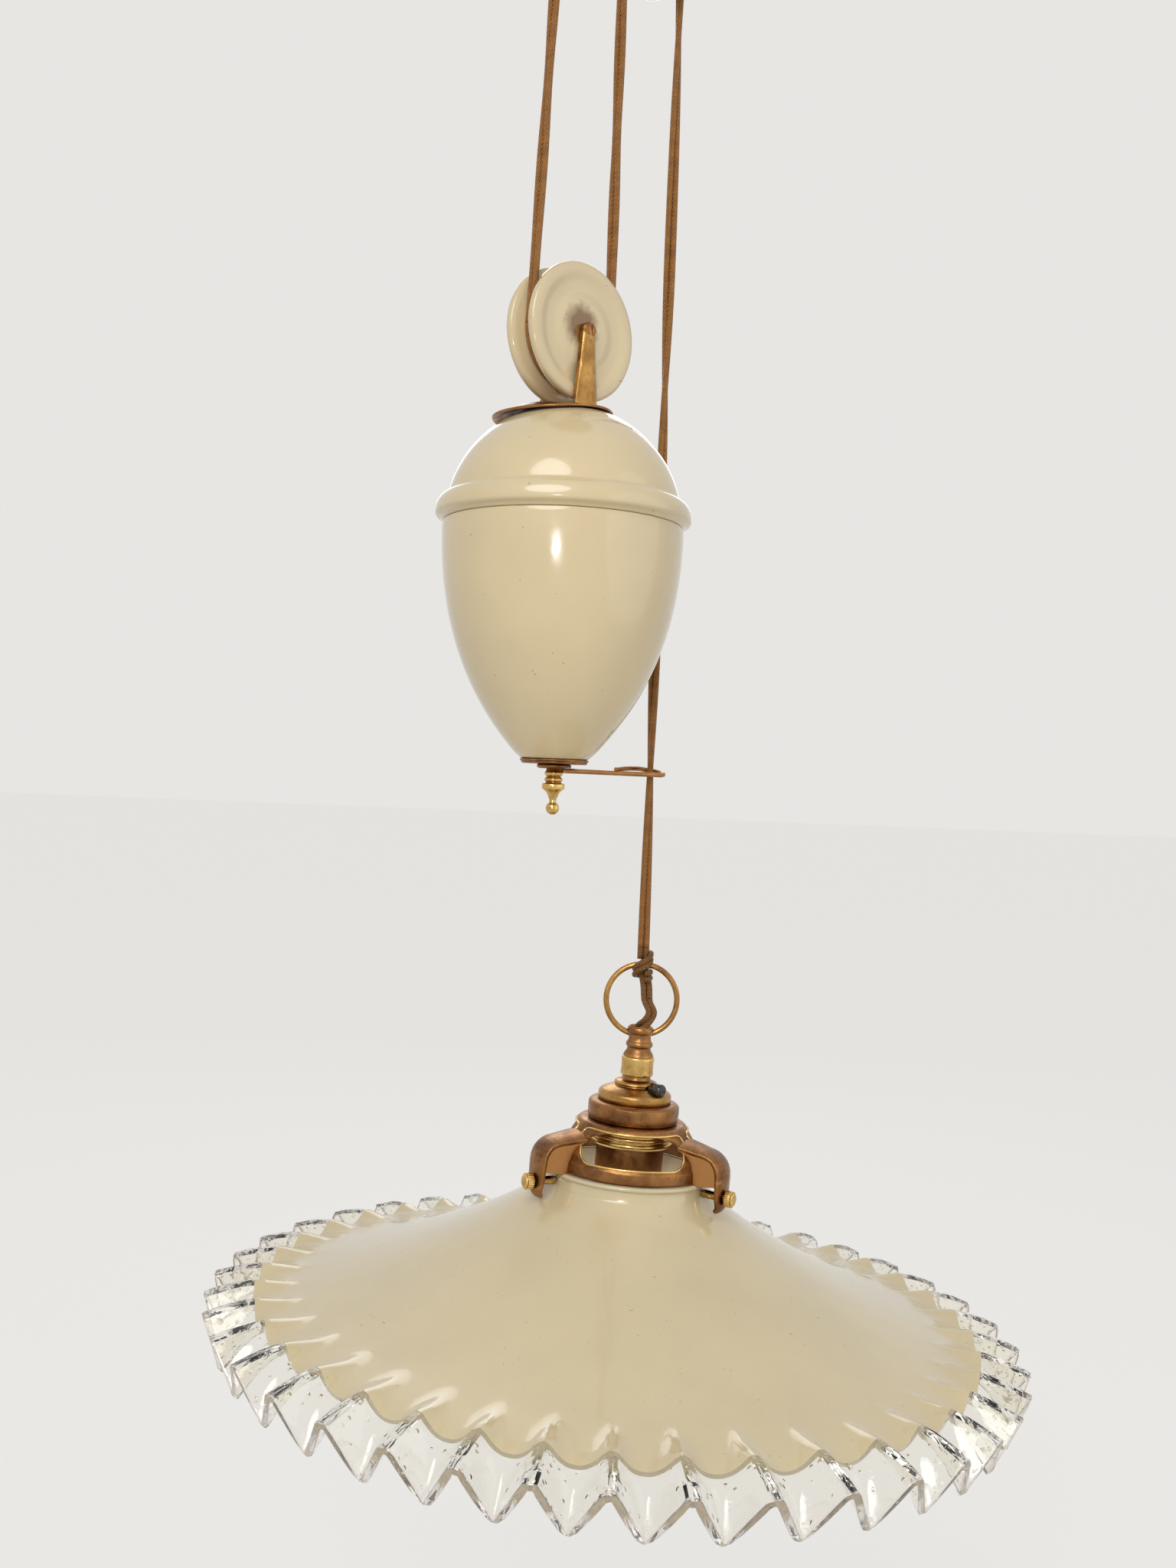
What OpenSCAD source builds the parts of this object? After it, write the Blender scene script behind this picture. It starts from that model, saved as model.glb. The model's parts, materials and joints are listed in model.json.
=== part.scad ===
// Rise and fall pendant: a lamp and its counterweight hang on one flex that runs over two wheels.
// Millimetres. Origin on the ceiling at the middle of the mounting strap, +Z up. The three strands
// lie in the XZ plane, and the wheel axles lie along Y.

/* [Hanging lengths] */
// Ceiling to the axle of the ceiling wheel
ceiling_wheel_drop = 67; // [60:1:80]
// Ceiling to the axle of the counterweight's wheel
counterweight_drop = 220; // [205:1:240]
// Ceiling to the centre of the lamp's ring
lamp_drop = 455; // [445:1:500]
// How far the lamp leans on its ring, in degrees
lamp_tilt = 3; // [0:0.5:4]
// Direction the ring faces, in degrees from +Y towards +X
ring_turn = 44; // [40:1:50]

/* [Flex] */
// Thickness of one covered core
core_d = 2.2; // [2:0.1:2.4]
// Gap between the flex and the wheel groove it lies in
flex_clearance = 0.3; // [0.2:0.05:0.4]
// Turns of the knot around the flex
knot_turns = 2; // [2:1:3]
// Height of one turn of the knot
knot_pitch = 2.7; // [2.7:0.1:3.2]

/* [Wheels] */
// Flex centre radius on the counterweight's wheel
weight_wheel_r = 18.7; // [18:0.1:20]
// Flex centre radius on the ceiling wheel
ceiling_wheel_r = 14.95; // [14:0.05:16]
// How far the counterweight wheel's flange stands above the flex centre
weight_flange = 5.2; // [4:0.1:5.5]
// How far the ceiling wheel's flange stands above the flex centre
ceiling_flange = 5; // [4:0.1:5.5]
// Width of both wheels
wheel_w = 14.6; // [13:0.1:16]
// Depth of the dish turned in each wheel face
wheel_dish = 1; // [0.5:0.1:1.5]
// How far each side of the wheels' groove spreads towards the rim
groove_flare = 2.4; // [1.6:0.1:2.8]
// Diameter of both axles
axle_d = 2.6; // [2.4:0.1:3]
// Running clearance of the wheels on their axles, on the radius
axle_clearance = 0.05; // [0.03:0.01:0.08]
// Gap between a wheel and its fork
fork_gap = 0.4; // [0.3:0.05:0.6]
// Thickness of the fork arms
fork_t = 1.8; // [1.6:0.1:2.2]
// Radius of the fork arms' rounded ends
fork_end_r = 3; // [2.6:0.1:3.4]
// Width of the fork arms at their root
fork_root_w = 10; // [9:0.2:11]
// Thickness of the axle heads
axle_head_t = 1.2; // [1:0.1:1.4]
// Thickness of the axle nuts
axle_nut_t = 2; // [1.6:0.1:2.4]

/* [Ceiling fitting] */
// Length of the mounting strap
strap_l = 108; // [106:1:112]
// Width of the mounting strap
strap_w = 18; // [18:1:22]
// Thickness of the mounting strap
strap_t = 2; // [1.6:0.1:2.4]
// Distance between the two ceiling screws
fixing_spacing = 92; // [90:1:94]
// Diameter of the ceiling screw holes
fixing_hole_d = 4.5; // [4:0.1:5]
// Height of the strap's lowered middle, ceiling to its underside
strap_h = 16; // [15:0.5:18]
// How far the canopy reaches past the strap's ends
canopy_over = 5; // [4:0.5:8]
// Height of the canopy
canopy_h = 30; // [28:0.5:32]
// Wall of the canopy
canopy_t = 1; // [0.8:0.1:1.2]
// Gap between the canopy and the ceiling
canopy_gap = 0.5; // [0.3:0.1:1]
// Width of the canopy's rounded edge
canopy_round = 17; // [14:1:20]
// Diameter of the hanger's stem
stem_d = 8; // [7:0.1:8.5]
// How far the stem stands out above its nut
stem_over = 2; // [1:0.2:3]
// Gap between the ceiling wheel and the hanger's yoke
yoke_gap = 3; // [2:0.2:4]
// Thickness of the hanger's yoke
yoke_t = 2; // [1.6:0.1:2.6]
// Clearance of stem and bush in their holes, on the radius
hole_clearance = 0.1; // [0.05:0.01:0.2]
// Thickness of the canopy nut
canopy_nut_h = 5; // [4:0.5:6]
// Diameter of the canopy nut
canopy_nut_d = 15; // [14:0.5:18]
// Thickness of the hexagon nuts
hex_nut_h = 4; // [3.5:0.1:5]
// Outer diameter of the cord grip
grip_d = 8.4; // [8:0.1:9]
// Length of the cord grip below the canopy
grip_below = 20; // [18:0.5:22]
// Distance of the cord grip from the origin, along -X
grip_x = 29.6; // [29:0.1:31]
// Length of the porcelain terminal block
block_l = 18; // [16:0.5:20]
// Width of the porcelain terminal block
block_w = 15; // [14:0.5:18]
// Height of the porcelain terminal block
block_h = 9; // [8:0.5:10]

/* [Counterweight] */
// Distance of the counterweight's axis from the origin, along -X
counterweight_x = 18.6; // [18:0.1:19]
// Largest radius of the cup
cup_r = 42; // [40:0.5:44]
// Height of the cup
cup_h = 81; // [78:0.5:84]
// Radius of the cup's foot
cup_foot_r = 12; // [11:0.5:13]
// Wall of the cup
cup_t = 4.5; // [4:0.25:5]
// Thickness of the cup's floor
cup_floor = 5; // [4:0.5:6]
// Radius of the lid's dome
dome_r = 41; // [39:0.5:42]
// Rise of the full dome's ellipse
dome_rise = 40; // [38:0.5:42]
// Radius of the flat on the dome's crown
crown_r = 16; // [15:0.5:17]
// Wall of the dome
dome_t = 4; // [3.5:0.25:4.5]
// How far the bead round the lid stands out past the cup
bead_out = 2.6; // [2:0.1:3]
// Height of the bead round the lid
bead_h = 7; // [6:0.25:8]
// Height of the narrow neck between bead and cup
lid_neck_h = 3; // [2.5:0.25:4]
// Length of the lid's spigot inside the cup
spigot_l = 6; // [5:0.5:8]
// Clearance of loose porcelain fits, on the radius
porcelain_clearance = 0.3; // [0.2:0.05:0.5]
// Gap between the counterweight's wheel and its tie rod head
wheel_gap = 0.5; // [0.4:0.1:1]
// Thickness of the fork's base plate
fork_base_t = 2; // [1.6:0.1:2.4]
// Thickness of the dished top cap
top_cap_t = 1.2; // [1:0.1:1.4]
// Radius of the dished top cap
top_cap_r = 21; // [20:0.5:24]
// How far the top cap is pushed off the dome's centre
top_cap_shift = 5; // [2:0.5:6]
// Diameter of the tie rod
rod_d = 3.8; // [3.5:0.1:4.2]
// Height of the ballast
ballast_h = 54.5; // [30:0.5:60]
// Clearance of the ballast in the cup
ballast_clearance = 0.8; // [0.6:0.1:1.2]
// Thickness of the plate under the cup
bottom_plate_t = 1.6; // [1.4:0.1:2]
// Thickness of the guide arm's hub
guide_hub_t = 1.6; // [1.4:0.1:2]
// Wire diameter of the guide arm
guide_wire_d = 1.8; // [1.6:0.1:2]
// Mean radius of the guide arm's eye
guide_eye_r = 4.9; // [4.6:0.1:5.5]
// Length of the finial
finial_l = 16.1; // [14:0.1:18]
// Radius of the finial's collar
finial_collar_r = 4; // [3.6:0.1:4.4]

/* [Lamp ring and holder] */
// Mean radius of the suspension ring
ring_r = 13.1; // [12.5:0.1:14]
// Wire diameter of the suspension ring
ring_wire_d = 2.1; // [2:0.1:2.3]
// Diameter of the boss on the ring
boss_d = 9.9; // [9.9:0.1:10.5]
// Height of the boss above the ring's wire
boss_up = 3.3; // [3.2:0.1:3.6]
// Height of the boss below the ring's wire
boss_down = 7.9; // [7.5:0.1:9]
// Diameter of the way for the flex through boss and cap
flex_way_d = 7.5; // [7.4:0.1:7.7]
// Diameter of the cross hole for the ring
cross_hole_d = 3.5; // [3.4:0.1:3.6]
// Diameter of the turned collar
collar_d = 12.2; // [12:0.1:13]
// Height of the turned collar
collar_h = 7; // [6:0.2:8]
// Diameter of the narrow neck under the collar
neck_d = 10.6; // [10.4:0.1:11]
// Height of the narrow neck under the collar
neck_h = 1.6; // [1.4:0.1:2]
// Height of the flared cap
flare_h = 4.7; // [4.4:0.1:6]
// Height of the cap's straight skirt
skirt_h = 3; // [2.5:0.1:4]
// Wall of the lampholder barrel
barrel_wall = 1.25; // [1.1:0.05:1.4]
// Bore that takes the lamp cap
socket_d = 22.5; // [22.3:0.1:22.6]
// Length of the barrel
barrel_l = 41.5; // [40:0.5:44]
// Depth of the socket, mouth to the ledge
socket_depth = 13.9; // [13:0.1:15]
// Height of the ledge under the porcelain core
ledge_t = 4.9; // [4.6:0.1:5.4]
// How much wider the barrel is above the ledge, on the radius
core_seat = 0.3; // [0.2:0.05:0.4]
// Thread clearance of cap and rings on the barrel, on the radius
thread_clearance = 0.05; // [0.04:0.01:0.08]
// Width of the upper shade ring, barrel to outside
upper_ring_w = 4.3; // [3.6:0.1:5]
// Height of the upper shade ring
upper_ring_h = 7.1; // [6:0.1:8]
// Width of the lower shade ring, barrel to outside
lower_ring_w = 2.8; // [2.2:0.1:3.4]
// Height of the lower shade ring
lower_ring_h = 7.5; // [6:0.1:8]
// Distance of each contact from the lampholder's axis
contact_x = 4; // [3.8:0.1:4.3]
// Diameter of the contact plungers
contact_d = 3.4; // [3:0.1:3.6]
// How far the contacts stand out of the insulator
contact_out = 4; // [3.5:0.1:4.5]
// Running clearance of the contacts, on the radius
contact_clearance = 0.05; // [0.03:0.01:0.08]
// Diameter of the black knob on the cord screw
knob_d = 4.9; // [4.4:0.1:5.2]
// Length of the black knob on the cord screw
knob_l = 5.2; // [4.5:0.1:6]

/* [Gallery] */
// Wall of the gallery
gallery_t = 1.1; // [1:0.1:1.3]
// Radius of the gallery's flat top
gallery_top_r = 19.5; // [18.5:0.5:21]
// Radius of the gallery's base
gallery_r = 30; // [29.5:0.5:31]
// Height of the gallery
gallery_h = 17.4; // [16.5:0.1:19]
// Height of the gallery's base band
band_h = 4.6; // [4:0.1:5]
// Width of each window
window_w = 37; // [32:1:40]
// Height of each window
window_h = 10.5; // [8:0.5:11]
// Radius of the windows' corners
window_corner_r = 3.5; // [3:0.25:4]
// Width of each claw
claw_w = 10; // [8:0.5:11]
// Thickness of each claw
claw_t = 1.5; // [1.3:0.1:1.7]
// Thickness of the cheeks that join each claw to the cone
cheek_t = 1.2; // [1:0.1:1.5]
// How far the claws stand out past the base, to their middle line
claw_reach = 9; // [8.5:0.5:11]
// Height of the claws' roots on the gallery's cone, above its foot
claw_root_h = 13.7; // [12:0.1:14]
// Diameter of the gallery screws
screw_d = 3; // [2.8:0.1:3.4]
// Diameter of the gallery screws' heads
screw_head_d = 6; // [5.5:0.1:7]
// Length of the gallery screws' heads
screw_head_l = 3.4; // [3:0.1:4]

/* [Shade] */
// Outer radius of the glass neck
glass_neck_r = 30.5; // [30:0.1:31]
// Straight height of the glass neck
glass_neck_h = 5; // [4.5:0.1:6]
// How far the lip stands out from the neck
lip_out = 0.9; // [0.7:0.1:1.2]
// Height of the lip
lip_h = 1.6; // [1.4:0.1:1.8]
// Thickness of the glass
glass_t = 3; // [2.8:0.1:3.2]
// Radius where the opal glass ends
opal_r = 125; // [119:1:131]
// Height of the opal glass, neck to edge
opal_h = 50.6; // [48:0.2:56]
// Width of the clear glass beyond the opal glass, to the crimps' mid height
rim_w = 20.5; // [16:0.5:24]
// Fall of the clear glass, opal edge to mid height of the crimps
rim_fall = 10; // [8:0.5:12]
// Height of the crimps, tip to valley
crimp_h = 16.9; // [14:0.1:18]
// Thickness of the clear glass
rim_t = 2.6; // [2.4:0.1:3]
// Number of pleats in the crimped edge
pleats = 40; // [36:4:44]
// How far the pleats are turned round the shade, in degrees
pleat_turn = 3.5; // [0:0.5:9]

/* [Hidden] */
$fn = 64;

// Where the strands hang, along X
fixed_x = -counterweight_x - weight_wheel_r;
middle_x = -counterweight_x + weight_wheel_r;
ceiling_wheel_x = middle_x + ceiling_wheel_r;
lamp_x = middle_x + 2 * ceiling_wheel_r;

// Wheels and forks
fork_in = wheel_w / 2 + fork_gap;
fork_out = fork_in + fork_t;
groove_w = 2 * core_d + 2 * flex_clearance;
end_gap = 0.05;
bore_r = axle_d / 2 + axle_clearance;
axle_head_r = axle_d / 2 + 1.3;
nut_across = 5.5;

// Ceiling fitting, heights below the ceiling
strap_flat_x = fixing_spacing / 2 - 8;
strap_top_z = strap_t - strap_h;
canopy_floor_z = -canopy_h;
canopy_lip = 3;
yoke_z = -ceiling_wheel_drop + ceiling_wheel_r + ceiling_flange + yoke_gap;
stem_end_z = strap_top_z + hex_nut_h + stem_over;
grip_bore_d = 2 * core_d + 1;
grip_mouth_z = canopy_floor_z - grip_below;
grip_flange_d = grip_d + 6;
grip_flange_t = 3;
grip_screw_d = 2.5;
grip_screw_z = grip_mouth_z + 4;
block_x = -16;
block_z = strap_top_z;
tail_z = block_z + block_h / 2;
terminal_x = block_x + 4.5;
terminal_y = block_w / 4;
terminal_screw_d = 2.5;
terminal_head_d = 4;
terminal_sink = 2;
core_y = core_d / 2 + 0.05;
supply_points = [
    [-grip_x, core_y, grip_mouth_z], [-grip_x, core_y, -40], [-grip_x, core_y, -30],
    [-grip_x, core_y, -20], [-grip_x, core_y, strap_top_z + hex_nut_h + 0.5],
    [-grip_x + 0.8, core_y, strap_top_z + hex_nut_h + 3],
    [-grip_x + 3, core_y, strap_top_z + hex_nut_h + 4.4],
    [-grip_x + 6, core_y + 0.4, strap_top_z + hex_nut_h + 4.2],
    [-grip_x + 9, core_y + 1.2, strap_top_z + hex_nut_h + 2.4],
    [block_x - 1.6, terminal_y - 0.4, tail_z + 0.2], [block_x + 6, terminal_y, tail_z]
];

// Counterweight, heights from its wheel's axle
wheel_bottom = weight_wheel_r + weight_flange;
rod_head_t = 0.8;
rod_head_r = 3.8;
fork_base_z = -wheel_bottom - wheel_gap - rod_head_t;
cap_seat_z = fork_base_z - fork_base_t - top_cap_t;
crown_drop = dome_rise * (1 - sqrt(1 - pow(crown_r / dome_r, 2)));
dome_z = cap_seat_z + crown_drop - dome_rise;
dome_edge_r = dome_r - 0.9;
dome_edge_z = dome_z + dome_rise * sqrt(1 - pow(dome_edge_r / dome_r, 2));
bead_r = cup_r + bead_out;
bead_z = dome_edge_z - bead_h;
cup_top_z = bead_z - lid_neck_h;
cup_foot_z = cup_top_z - cup_h;
cup_mouth_r = cup_r - 1 - cup_t;
cup_curve = [
    [cup_r, cup_top_z - 2], [cup_r, cup_top_z - 38],
    [cup_r - 12.5, cup_foot_z + 18], [cup_foot_r, cup_foot_z]
];
plate_z = cup_foot_z - bottom_plate_t;
hub_z = plate_z - guide_hub_t;
guide_reach = lamp_x + counterweight_x;
guide_hub_r = 6;
guide_root = 4;
guide_wire_z = hub_z - guide_wire_d / 2 + 0.3;
rod_end_z = hub_z - finial_l / 2;

// Ring and knot, heights from the top wire of the ring
ring_top_z = -lamp_drop + ring_r;
ring_bottom_z = -lamp_drop - ring_r;
knot_r = core_d * 1.5 + 0.15;
knot_above = ring_wire_d / 2 + core_d / 2 + flex_clearance;
knot_below = knot_above + knot_r * knot_r / (2 * ring_r) + 0.4;
knot_top = knot_above + 2.2;
knot_end = knot_below + knot_pitch * (knot_turns - 1);
tail_top = knot_end + core_d / 2 + flex_clearance;
tail_gap = 0.7;

// Lampholder, heights from the bottom wire of the ring along the lamp's axis
spigot_r = boss_d / 2 - 0.2;
collar_z = -boss_down;
collar_foot_z = collar_z - collar_h;
cap_top_z = collar_foot_z - neck_h;
flare_foot_z = cap_top_z - flare_h;
cap_foot_z = flare_foot_z - skirt_h;
barrel_r = socket_d / 2 + barrel_wall;
thread_r = barrel_r + thread_clearance;
cap_r = thread_r + 0.95;
gallery_z = cap_foot_z - upper_ring_h;
lower_ring_z = gallery_z - gallery_t;
barrel_top_z = flare_foot_z - 0.2;
mouth_z = barrel_top_z - barrel_l;
ledge_z = mouth_z + socket_depth;
ledge_r = socket_d / 2 - 1.1;
insulator_z = ledge_z + ledge_t;
insulator_top_z = barrel_top_z - 1;
insulator_r = socket_d / 2 + core_seat - contact_clearance;
core_x = ring_wire_d / 2 + core_d / 2 + flex_clearance;
core_hole_d = core_d + 0.5;
core_end_z = insulator_top_z - 5.5;
chamber_z = insulator_z + 3;
chamber_d = contact_d + 1.6;
chamber_top_z = insulator_z + 12;
contact_head_h = 1.2;
contact_rest_gap = 0.3;
contact_head_z = chamber_z + contact_rest_gap;
contact_tip_z = insulator_z - contact_out;
spring_wall = 0.5;
slot_w = 2.6;
slot_l = 9;
slot_side = 4;
terminal_screw_z = insulator_top_z - 3;
knob_z = cap_top_z - 1.9;
knob_seat_r = knob_d / 2 + 6.2;
cord_screw_d = 2.5;

// Route of each core in the lamp's own axes: across the ring, away from the viewer, and up
front_core = [
    [-1.7, 0, ring_r], [-0.9, -0.8, 11], [-0.4, -1.6, 8.5], [-0.2, -2.2, 6], [0, -core_x, 3.5],
    [0, -core_x, 0], [0, -core_x, -7], [0, -core_x, -14], [0, -core_x, core_end_z]
];
back_core = [
    [0.55, 0, ring_r], [1.5, 0.7, 11], [1.5, 1.5, 8.5], [0.7, 2.2, 6], [0, core_x, 3.5],
    [0, core_x, 0], [0, core_x, -7], [0, core_x, -14], [0, core_x, core_end_z]
];

// Gallery and shade, heights along the lamp's axis
gallery_foot_z = gallery_z - gallery_h;
shoulder_z = gallery_foot_z + band_h;
cone_foot_z = shoulder_z + 4.2;
claw_r = gallery_r + claw_reach;
claw_root_r = gallery_top_r + 3.4;
claw_turns = [-30, 90, 210];
window_turns = [-90, 30, 150];
glass_gap = 0.2;
glass_top_z = gallery_foot_z - glass_gap;
screw_z = glass_top_z - lip_h - screw_d / 2 - 0.3;
claw_foot_z = screw_z - 2.2;
claw_curl = 4;
claw_curl_a = 50;
claw_curve = [
    [claw_root_r, gallery_foot_z + claw_root_h],
    [claw_root_r + 8, gallery_foot_z + claw_root_h - 1.8],
    [claw_r, gallery_foot_z + claw_root_h - 2.4], [claw_r, gallery_foot_z + 3]
];
screw_tip_r = glass_neck_r + 0.1;
screw_seat_r = claw_r + claw_t / 2 + 0.3;
shade_curve = [
    [glass_neck_r, glass_top_z - glass_neck_h],
    [glass_neck_r + 5.5, glass_top_z - glass_neck_h - 9.5],
    [opal_r - 44, glass_top_z - opal_h + 10.6],
    [opal_r, glass_top_z - opal_h]
];
rim_start_r = opal_r + 0.1;
rim_r = opal_r + rim_w;
rim_start_z = glass_top_z - opal_h - glass_t / 2;
rim_rows = [0, 0.12, 0.3, 0.52, 0.76, 1];
rim_lean = 23;

function unit(v) = v / norm(v);

function bezier(p, t) =
    pow(1 - t, 3) * p[0] + 3 * t * pow(1 - t, 2) * p[1] + 3 * t * t * (1 - t) * p[2] + pow(t, 3) * p[3];

function bezier_way(p, t) =
    unit(pow(1 - t, 2) * (p[1] - p[0]) + 2 * t * (1 - t) * (p[2] - p[1]) + t * t * (p[3] - p[2]));

// A curve and its copy set in by a distance, to the left of its direction
function curve(p, n) = [for (i = [0:n]) bezier(p, i / n)];
function inset(p, n, d) =
    [for (i = [0:n]) let (w = bezier_way(p, i / n)) bezier(p, i / n) + d * [w[1], -w[0]]];

function arc(c, rx, rz, a0, a1, n) =
    [for (i = [0:n]) let (a = a0 + (a1 - a0) * i / n) c + [rx * cos(a), rz * sin(a)]];

function reversed(p) = [for (i = [len(p) - 1:-1:0]) p[i]];

// Tube of round section along points in space, its end faces square to the route
module tube(points, d, sides) {
    n = len(points);
    ways = [
        for (i = [0:n - 1]) unit(points[min(i + 1, n - 1)] - points[max(i - 1, 0)])
    ];
    side = abs(ways[0][1]) > 0.9 ? [1, 0, 0] : [0, 1, 0];
    rings = [
        for (i = [0:n - 1])
            let (u = unit(cross(side, ways[i])), v = cross(ways[i], u))
                for (k = [0:sides - 1])
                    let (a = 360 * k / sides) points[i] + d / 2 * (cos(a) * u + sin(a) * v)
    ];
    walls = [
        for (i = [0:n - 2], k = [0:sides - 1])
            let (a = i * sides + k, b = i * sides + (k + 1) % sides)
                each [[a, b, b + sides], [a, b + sides, a + sides]]
    ];
    caps = [
        for (k = [1:sides - 2])
            each [[0, k + 1, k], [(n - 1) * sides, (n - 1) * sides + k, (n - 1) * sides + k + 1]]
    ];
    polyhedron(rings, [for (f = concat(walls, caps)) reversed(f)], convexity = 10);
}

// Section of the flat twin flex, its two cores side by side along the first axis
module flex_section() {
    for (s = [-1, 1]) translate([s * (core_d / 2 - 0.05), 0]) circle(d = core_d);
}

// Straight flex between two places, with its cores side by side along Y
module strand(x0, z0, x1, z1) {
    lean = atan2(x1 - x0, z1 - z0);
    translate([x0, 0, z0])
        rotate([0, lean, 0])
            linear_extrude(norm([x1 - x0, z1 - z0]))
                rotate(90) flex_section();
}

// Half turn of flex on a wheel: the upper half, or the lower half when under is true
module half_turn(r, under) {
    rotate([under ? -90 : 90, 0, 0])
        rotate_extrude(angle = 180)
            translate([r, 0]) rotate(90) flex_section();
}

module wheel(r, flange) {
    groove_r = r - core_d / 2 - flex_clearance;
    rim = r + flange;
    rotate([90, 0, 0])
        rotate_extrude()
            polygon([
                [bore_r, -wheel_w / 2], [rim * 0.45, -wheel_w / 2],
                [rim * 0.5, wheel_dish - wheel_w / 2], [rim * 0.74, wheel_dish - wheel_w / 2],
                [rim * 0.8, -wheel_w / 2], [rim - 0.8, -wheel_w / 2], [rim, 0.8 - wheel_w / 2],
                [rim, -groove_w / 2 - groove_flare], [groove_r, -groove_w / 2],
                [groove_r, groove_w / 2], [rim, groove_w / 2 + groove_flare],
                [rim, wheel_w / 2 - 0.8], [rim - 0.8, wheel_w / 2], [rim * 0.8, wheel_w / 2],
                [rim * 0.74, wheel_w / 2 - wheel_dish], [rim * 0.5, wheel_w / 2 - wheel_dish],
                [rim * 0.45, wheel_w / 2], [bore_r, wheel_w / 2]
            ]);
}

// Headed pin along Y, its head towards -Y
module axle() {
    rotate([90, 0, 0]) {
        translate([0, 0, -fork_out - axle_nut_t - 0.6])
            cylinder(d = axle_d, h = 2 * fork_out + axle_nut_t + 0.6 + axle_head_t / 2);
        translate([0, 0, fork_out]) cylinder(r1 = axle_head_r, r2 = axle_head_r - 0.6, h = axle_head_t);
    }
}

module hex_nut(across, hole_d, h) {
    difference() {
        cylinder(d = across / cos(30), h = h, $fn = 6);
        translate([0, 0, -1]) cylinder(d = hole_d, h = h + 2);
    }
}

module axle_nut() {
    translate([0, fork_out, 0])
        rotate([-90, 0, 0]) hex_nut(nut_across, axle_d + 2 * thread_clearance, axle_nut_t);
}

// One arm of a fork, from the axle down to its root
module fork_arm(root) {
    rotate([90, 0, 0])
        translate([0, 0, -fork_t / 2])
            difference() {
                linear_extrude(fork_t) {
                    polygon([
                        [-fork_root_w / 2, -root], [fork_root_w / 2, -root],
                        [fork_end_r, 0], [-fork_end_r, 0]
                    ]);
                    circle(r = fork_end_r);
                }
                translate([0, 0, -1]) cylinder(d = axle_d + 2 * thread_clearance, h = fork_t + 2);
            }
}

module fork_arms(root) {
    for (s = [-1, 1]) translate([0, s * (fork_in + fork_t / 2), 0]) fork_arm(root);
}

// ---- Ceiling fitting ----

module at_ceiling_wheel() {
    translate([ceiling_wheel_x, 0, -ceiling_wheel_drop]) children();
}

module mounting_strap() {
    color("goldenrod")
        difference() {
            union() {
                for (s = [-1, 1])
                    translate([s * (strap_flat_x + strap_l / 2) / 2, 0, -strap_t / 2])
                        cube([strap_l / 2 - strap_flat_x, strap_w, strap_t], center = true);
                for (s = [-1, 1])
                    translate([s * (strap_flat_x + strap_t / 2), 0, -strap_h / 2])
                        cube([strap_t, strap_w, strap_h], center = true);
                translate([0, 0, strap_t / 2 - strap_h])
                    cube([2 * strap_flat_x + 2 * strap_t, strap_w, strap_t], center = true);
            }
            for (s = [-1, 1])
                translate([s * fixing_spacing / 2, 0, -strap_t - 1])
                    cylinder(d = fixing_hole_d, h = strap_t + 2);
            translate([ceiling_wheel_x, 0, -strap_h - 1])
                cylinder(d = stem_d + 2 * hole_clearance, h = strap_t + 2);
            translate([-grip_x, 0, -strap_h - 1])
                cylinder(d = grip_d + 2 * hole_clearance, h = strap_t + 2);
        }
}

module canopy() {
    rim = strap_l / 2 + canopy_over;
    flat = rim - canopy_round;
    foot = canopy_floor_z;
    color("darkgoldenrod")
        difference() {
            rotate_extrude()
                polygon(concat(
                    [[rim, -canopy_gap], [rim, -canopy_lip]],
                    arc([flat, -canopy_lip], rim - flat - 1, canopy_h - canopy_lip, 0, -90, 12),
                    [[0, foot], [0, foot + canopy_t]],
                    arc([flat, -canopy_lip], rim - flat - 1 - canopy_t,
                        canopy_h - canopy_lip - canopy_t, -90, 0, 12),
                    [[rim - 1 - canopy_t, -canopy_gap]]
                ));
            translate([ceiling_wheel_x, 0, foot - 1])
                cylinder(d = stem_d + 2 * hole_clearance, h = canopy_t + 2);
            translate([-grip_x, 0, foot - 1])
                cylinder(d = grip_d + 2 * hole_clearance, h = canopy_t + 2);
        }
}

module hanger_fork() {
    yoke = yoke_z + ceiling_wheel_drop;
    color("goldenrod")
        at_ceiling_wheel() {
            rotate([180, 0, 0]) fork_arms(yoke);
            translate([0, 0, yoke + yoke_t / 2])
                cube([fork_root_w, 2 * fork_out, yoke_t], center = true);
            translate([0, 0, yoke])
                cylinder(d = stem_d, h = stem_end_z + ceiling_wheel_drop - yoke);
        }
}

module stem_nut() {
    color("goldenrod")
        translate([ceiling_wheel_x, 0, strap_top_z])
            hex_nut(stem_d + 5, stem_d + 2 * thread_clearance, hex_nut_h);
}

module canopy_nut() {
    color("goldenrod")
        translate([ceiling_wheel_x, 0, canopy_floor_z - canopy_nut_h])
            difference() {
                cylinder(d1 = canopy_nut_d - 2, d2 = canopy_nut_d, h = canopy_nut_h);
                translate([0, 0, -1]) cylinder(d = stem_d + 2 * thread_clearance, h = canopy_nut_h + 2);
            }
}

module ceiling_pulley() {
    color("blanchedalmond") at_ceiling_wheel() wheel(ceiling_wheel_r, ceiling_flange);
}

module ceiling_axle() {
    color("gold") at_ceiling_wheel() axle();
}

module ceiling_axle_nut() {
    color("gold") at_ceiling_wheel() axle_nut();
}

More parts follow.
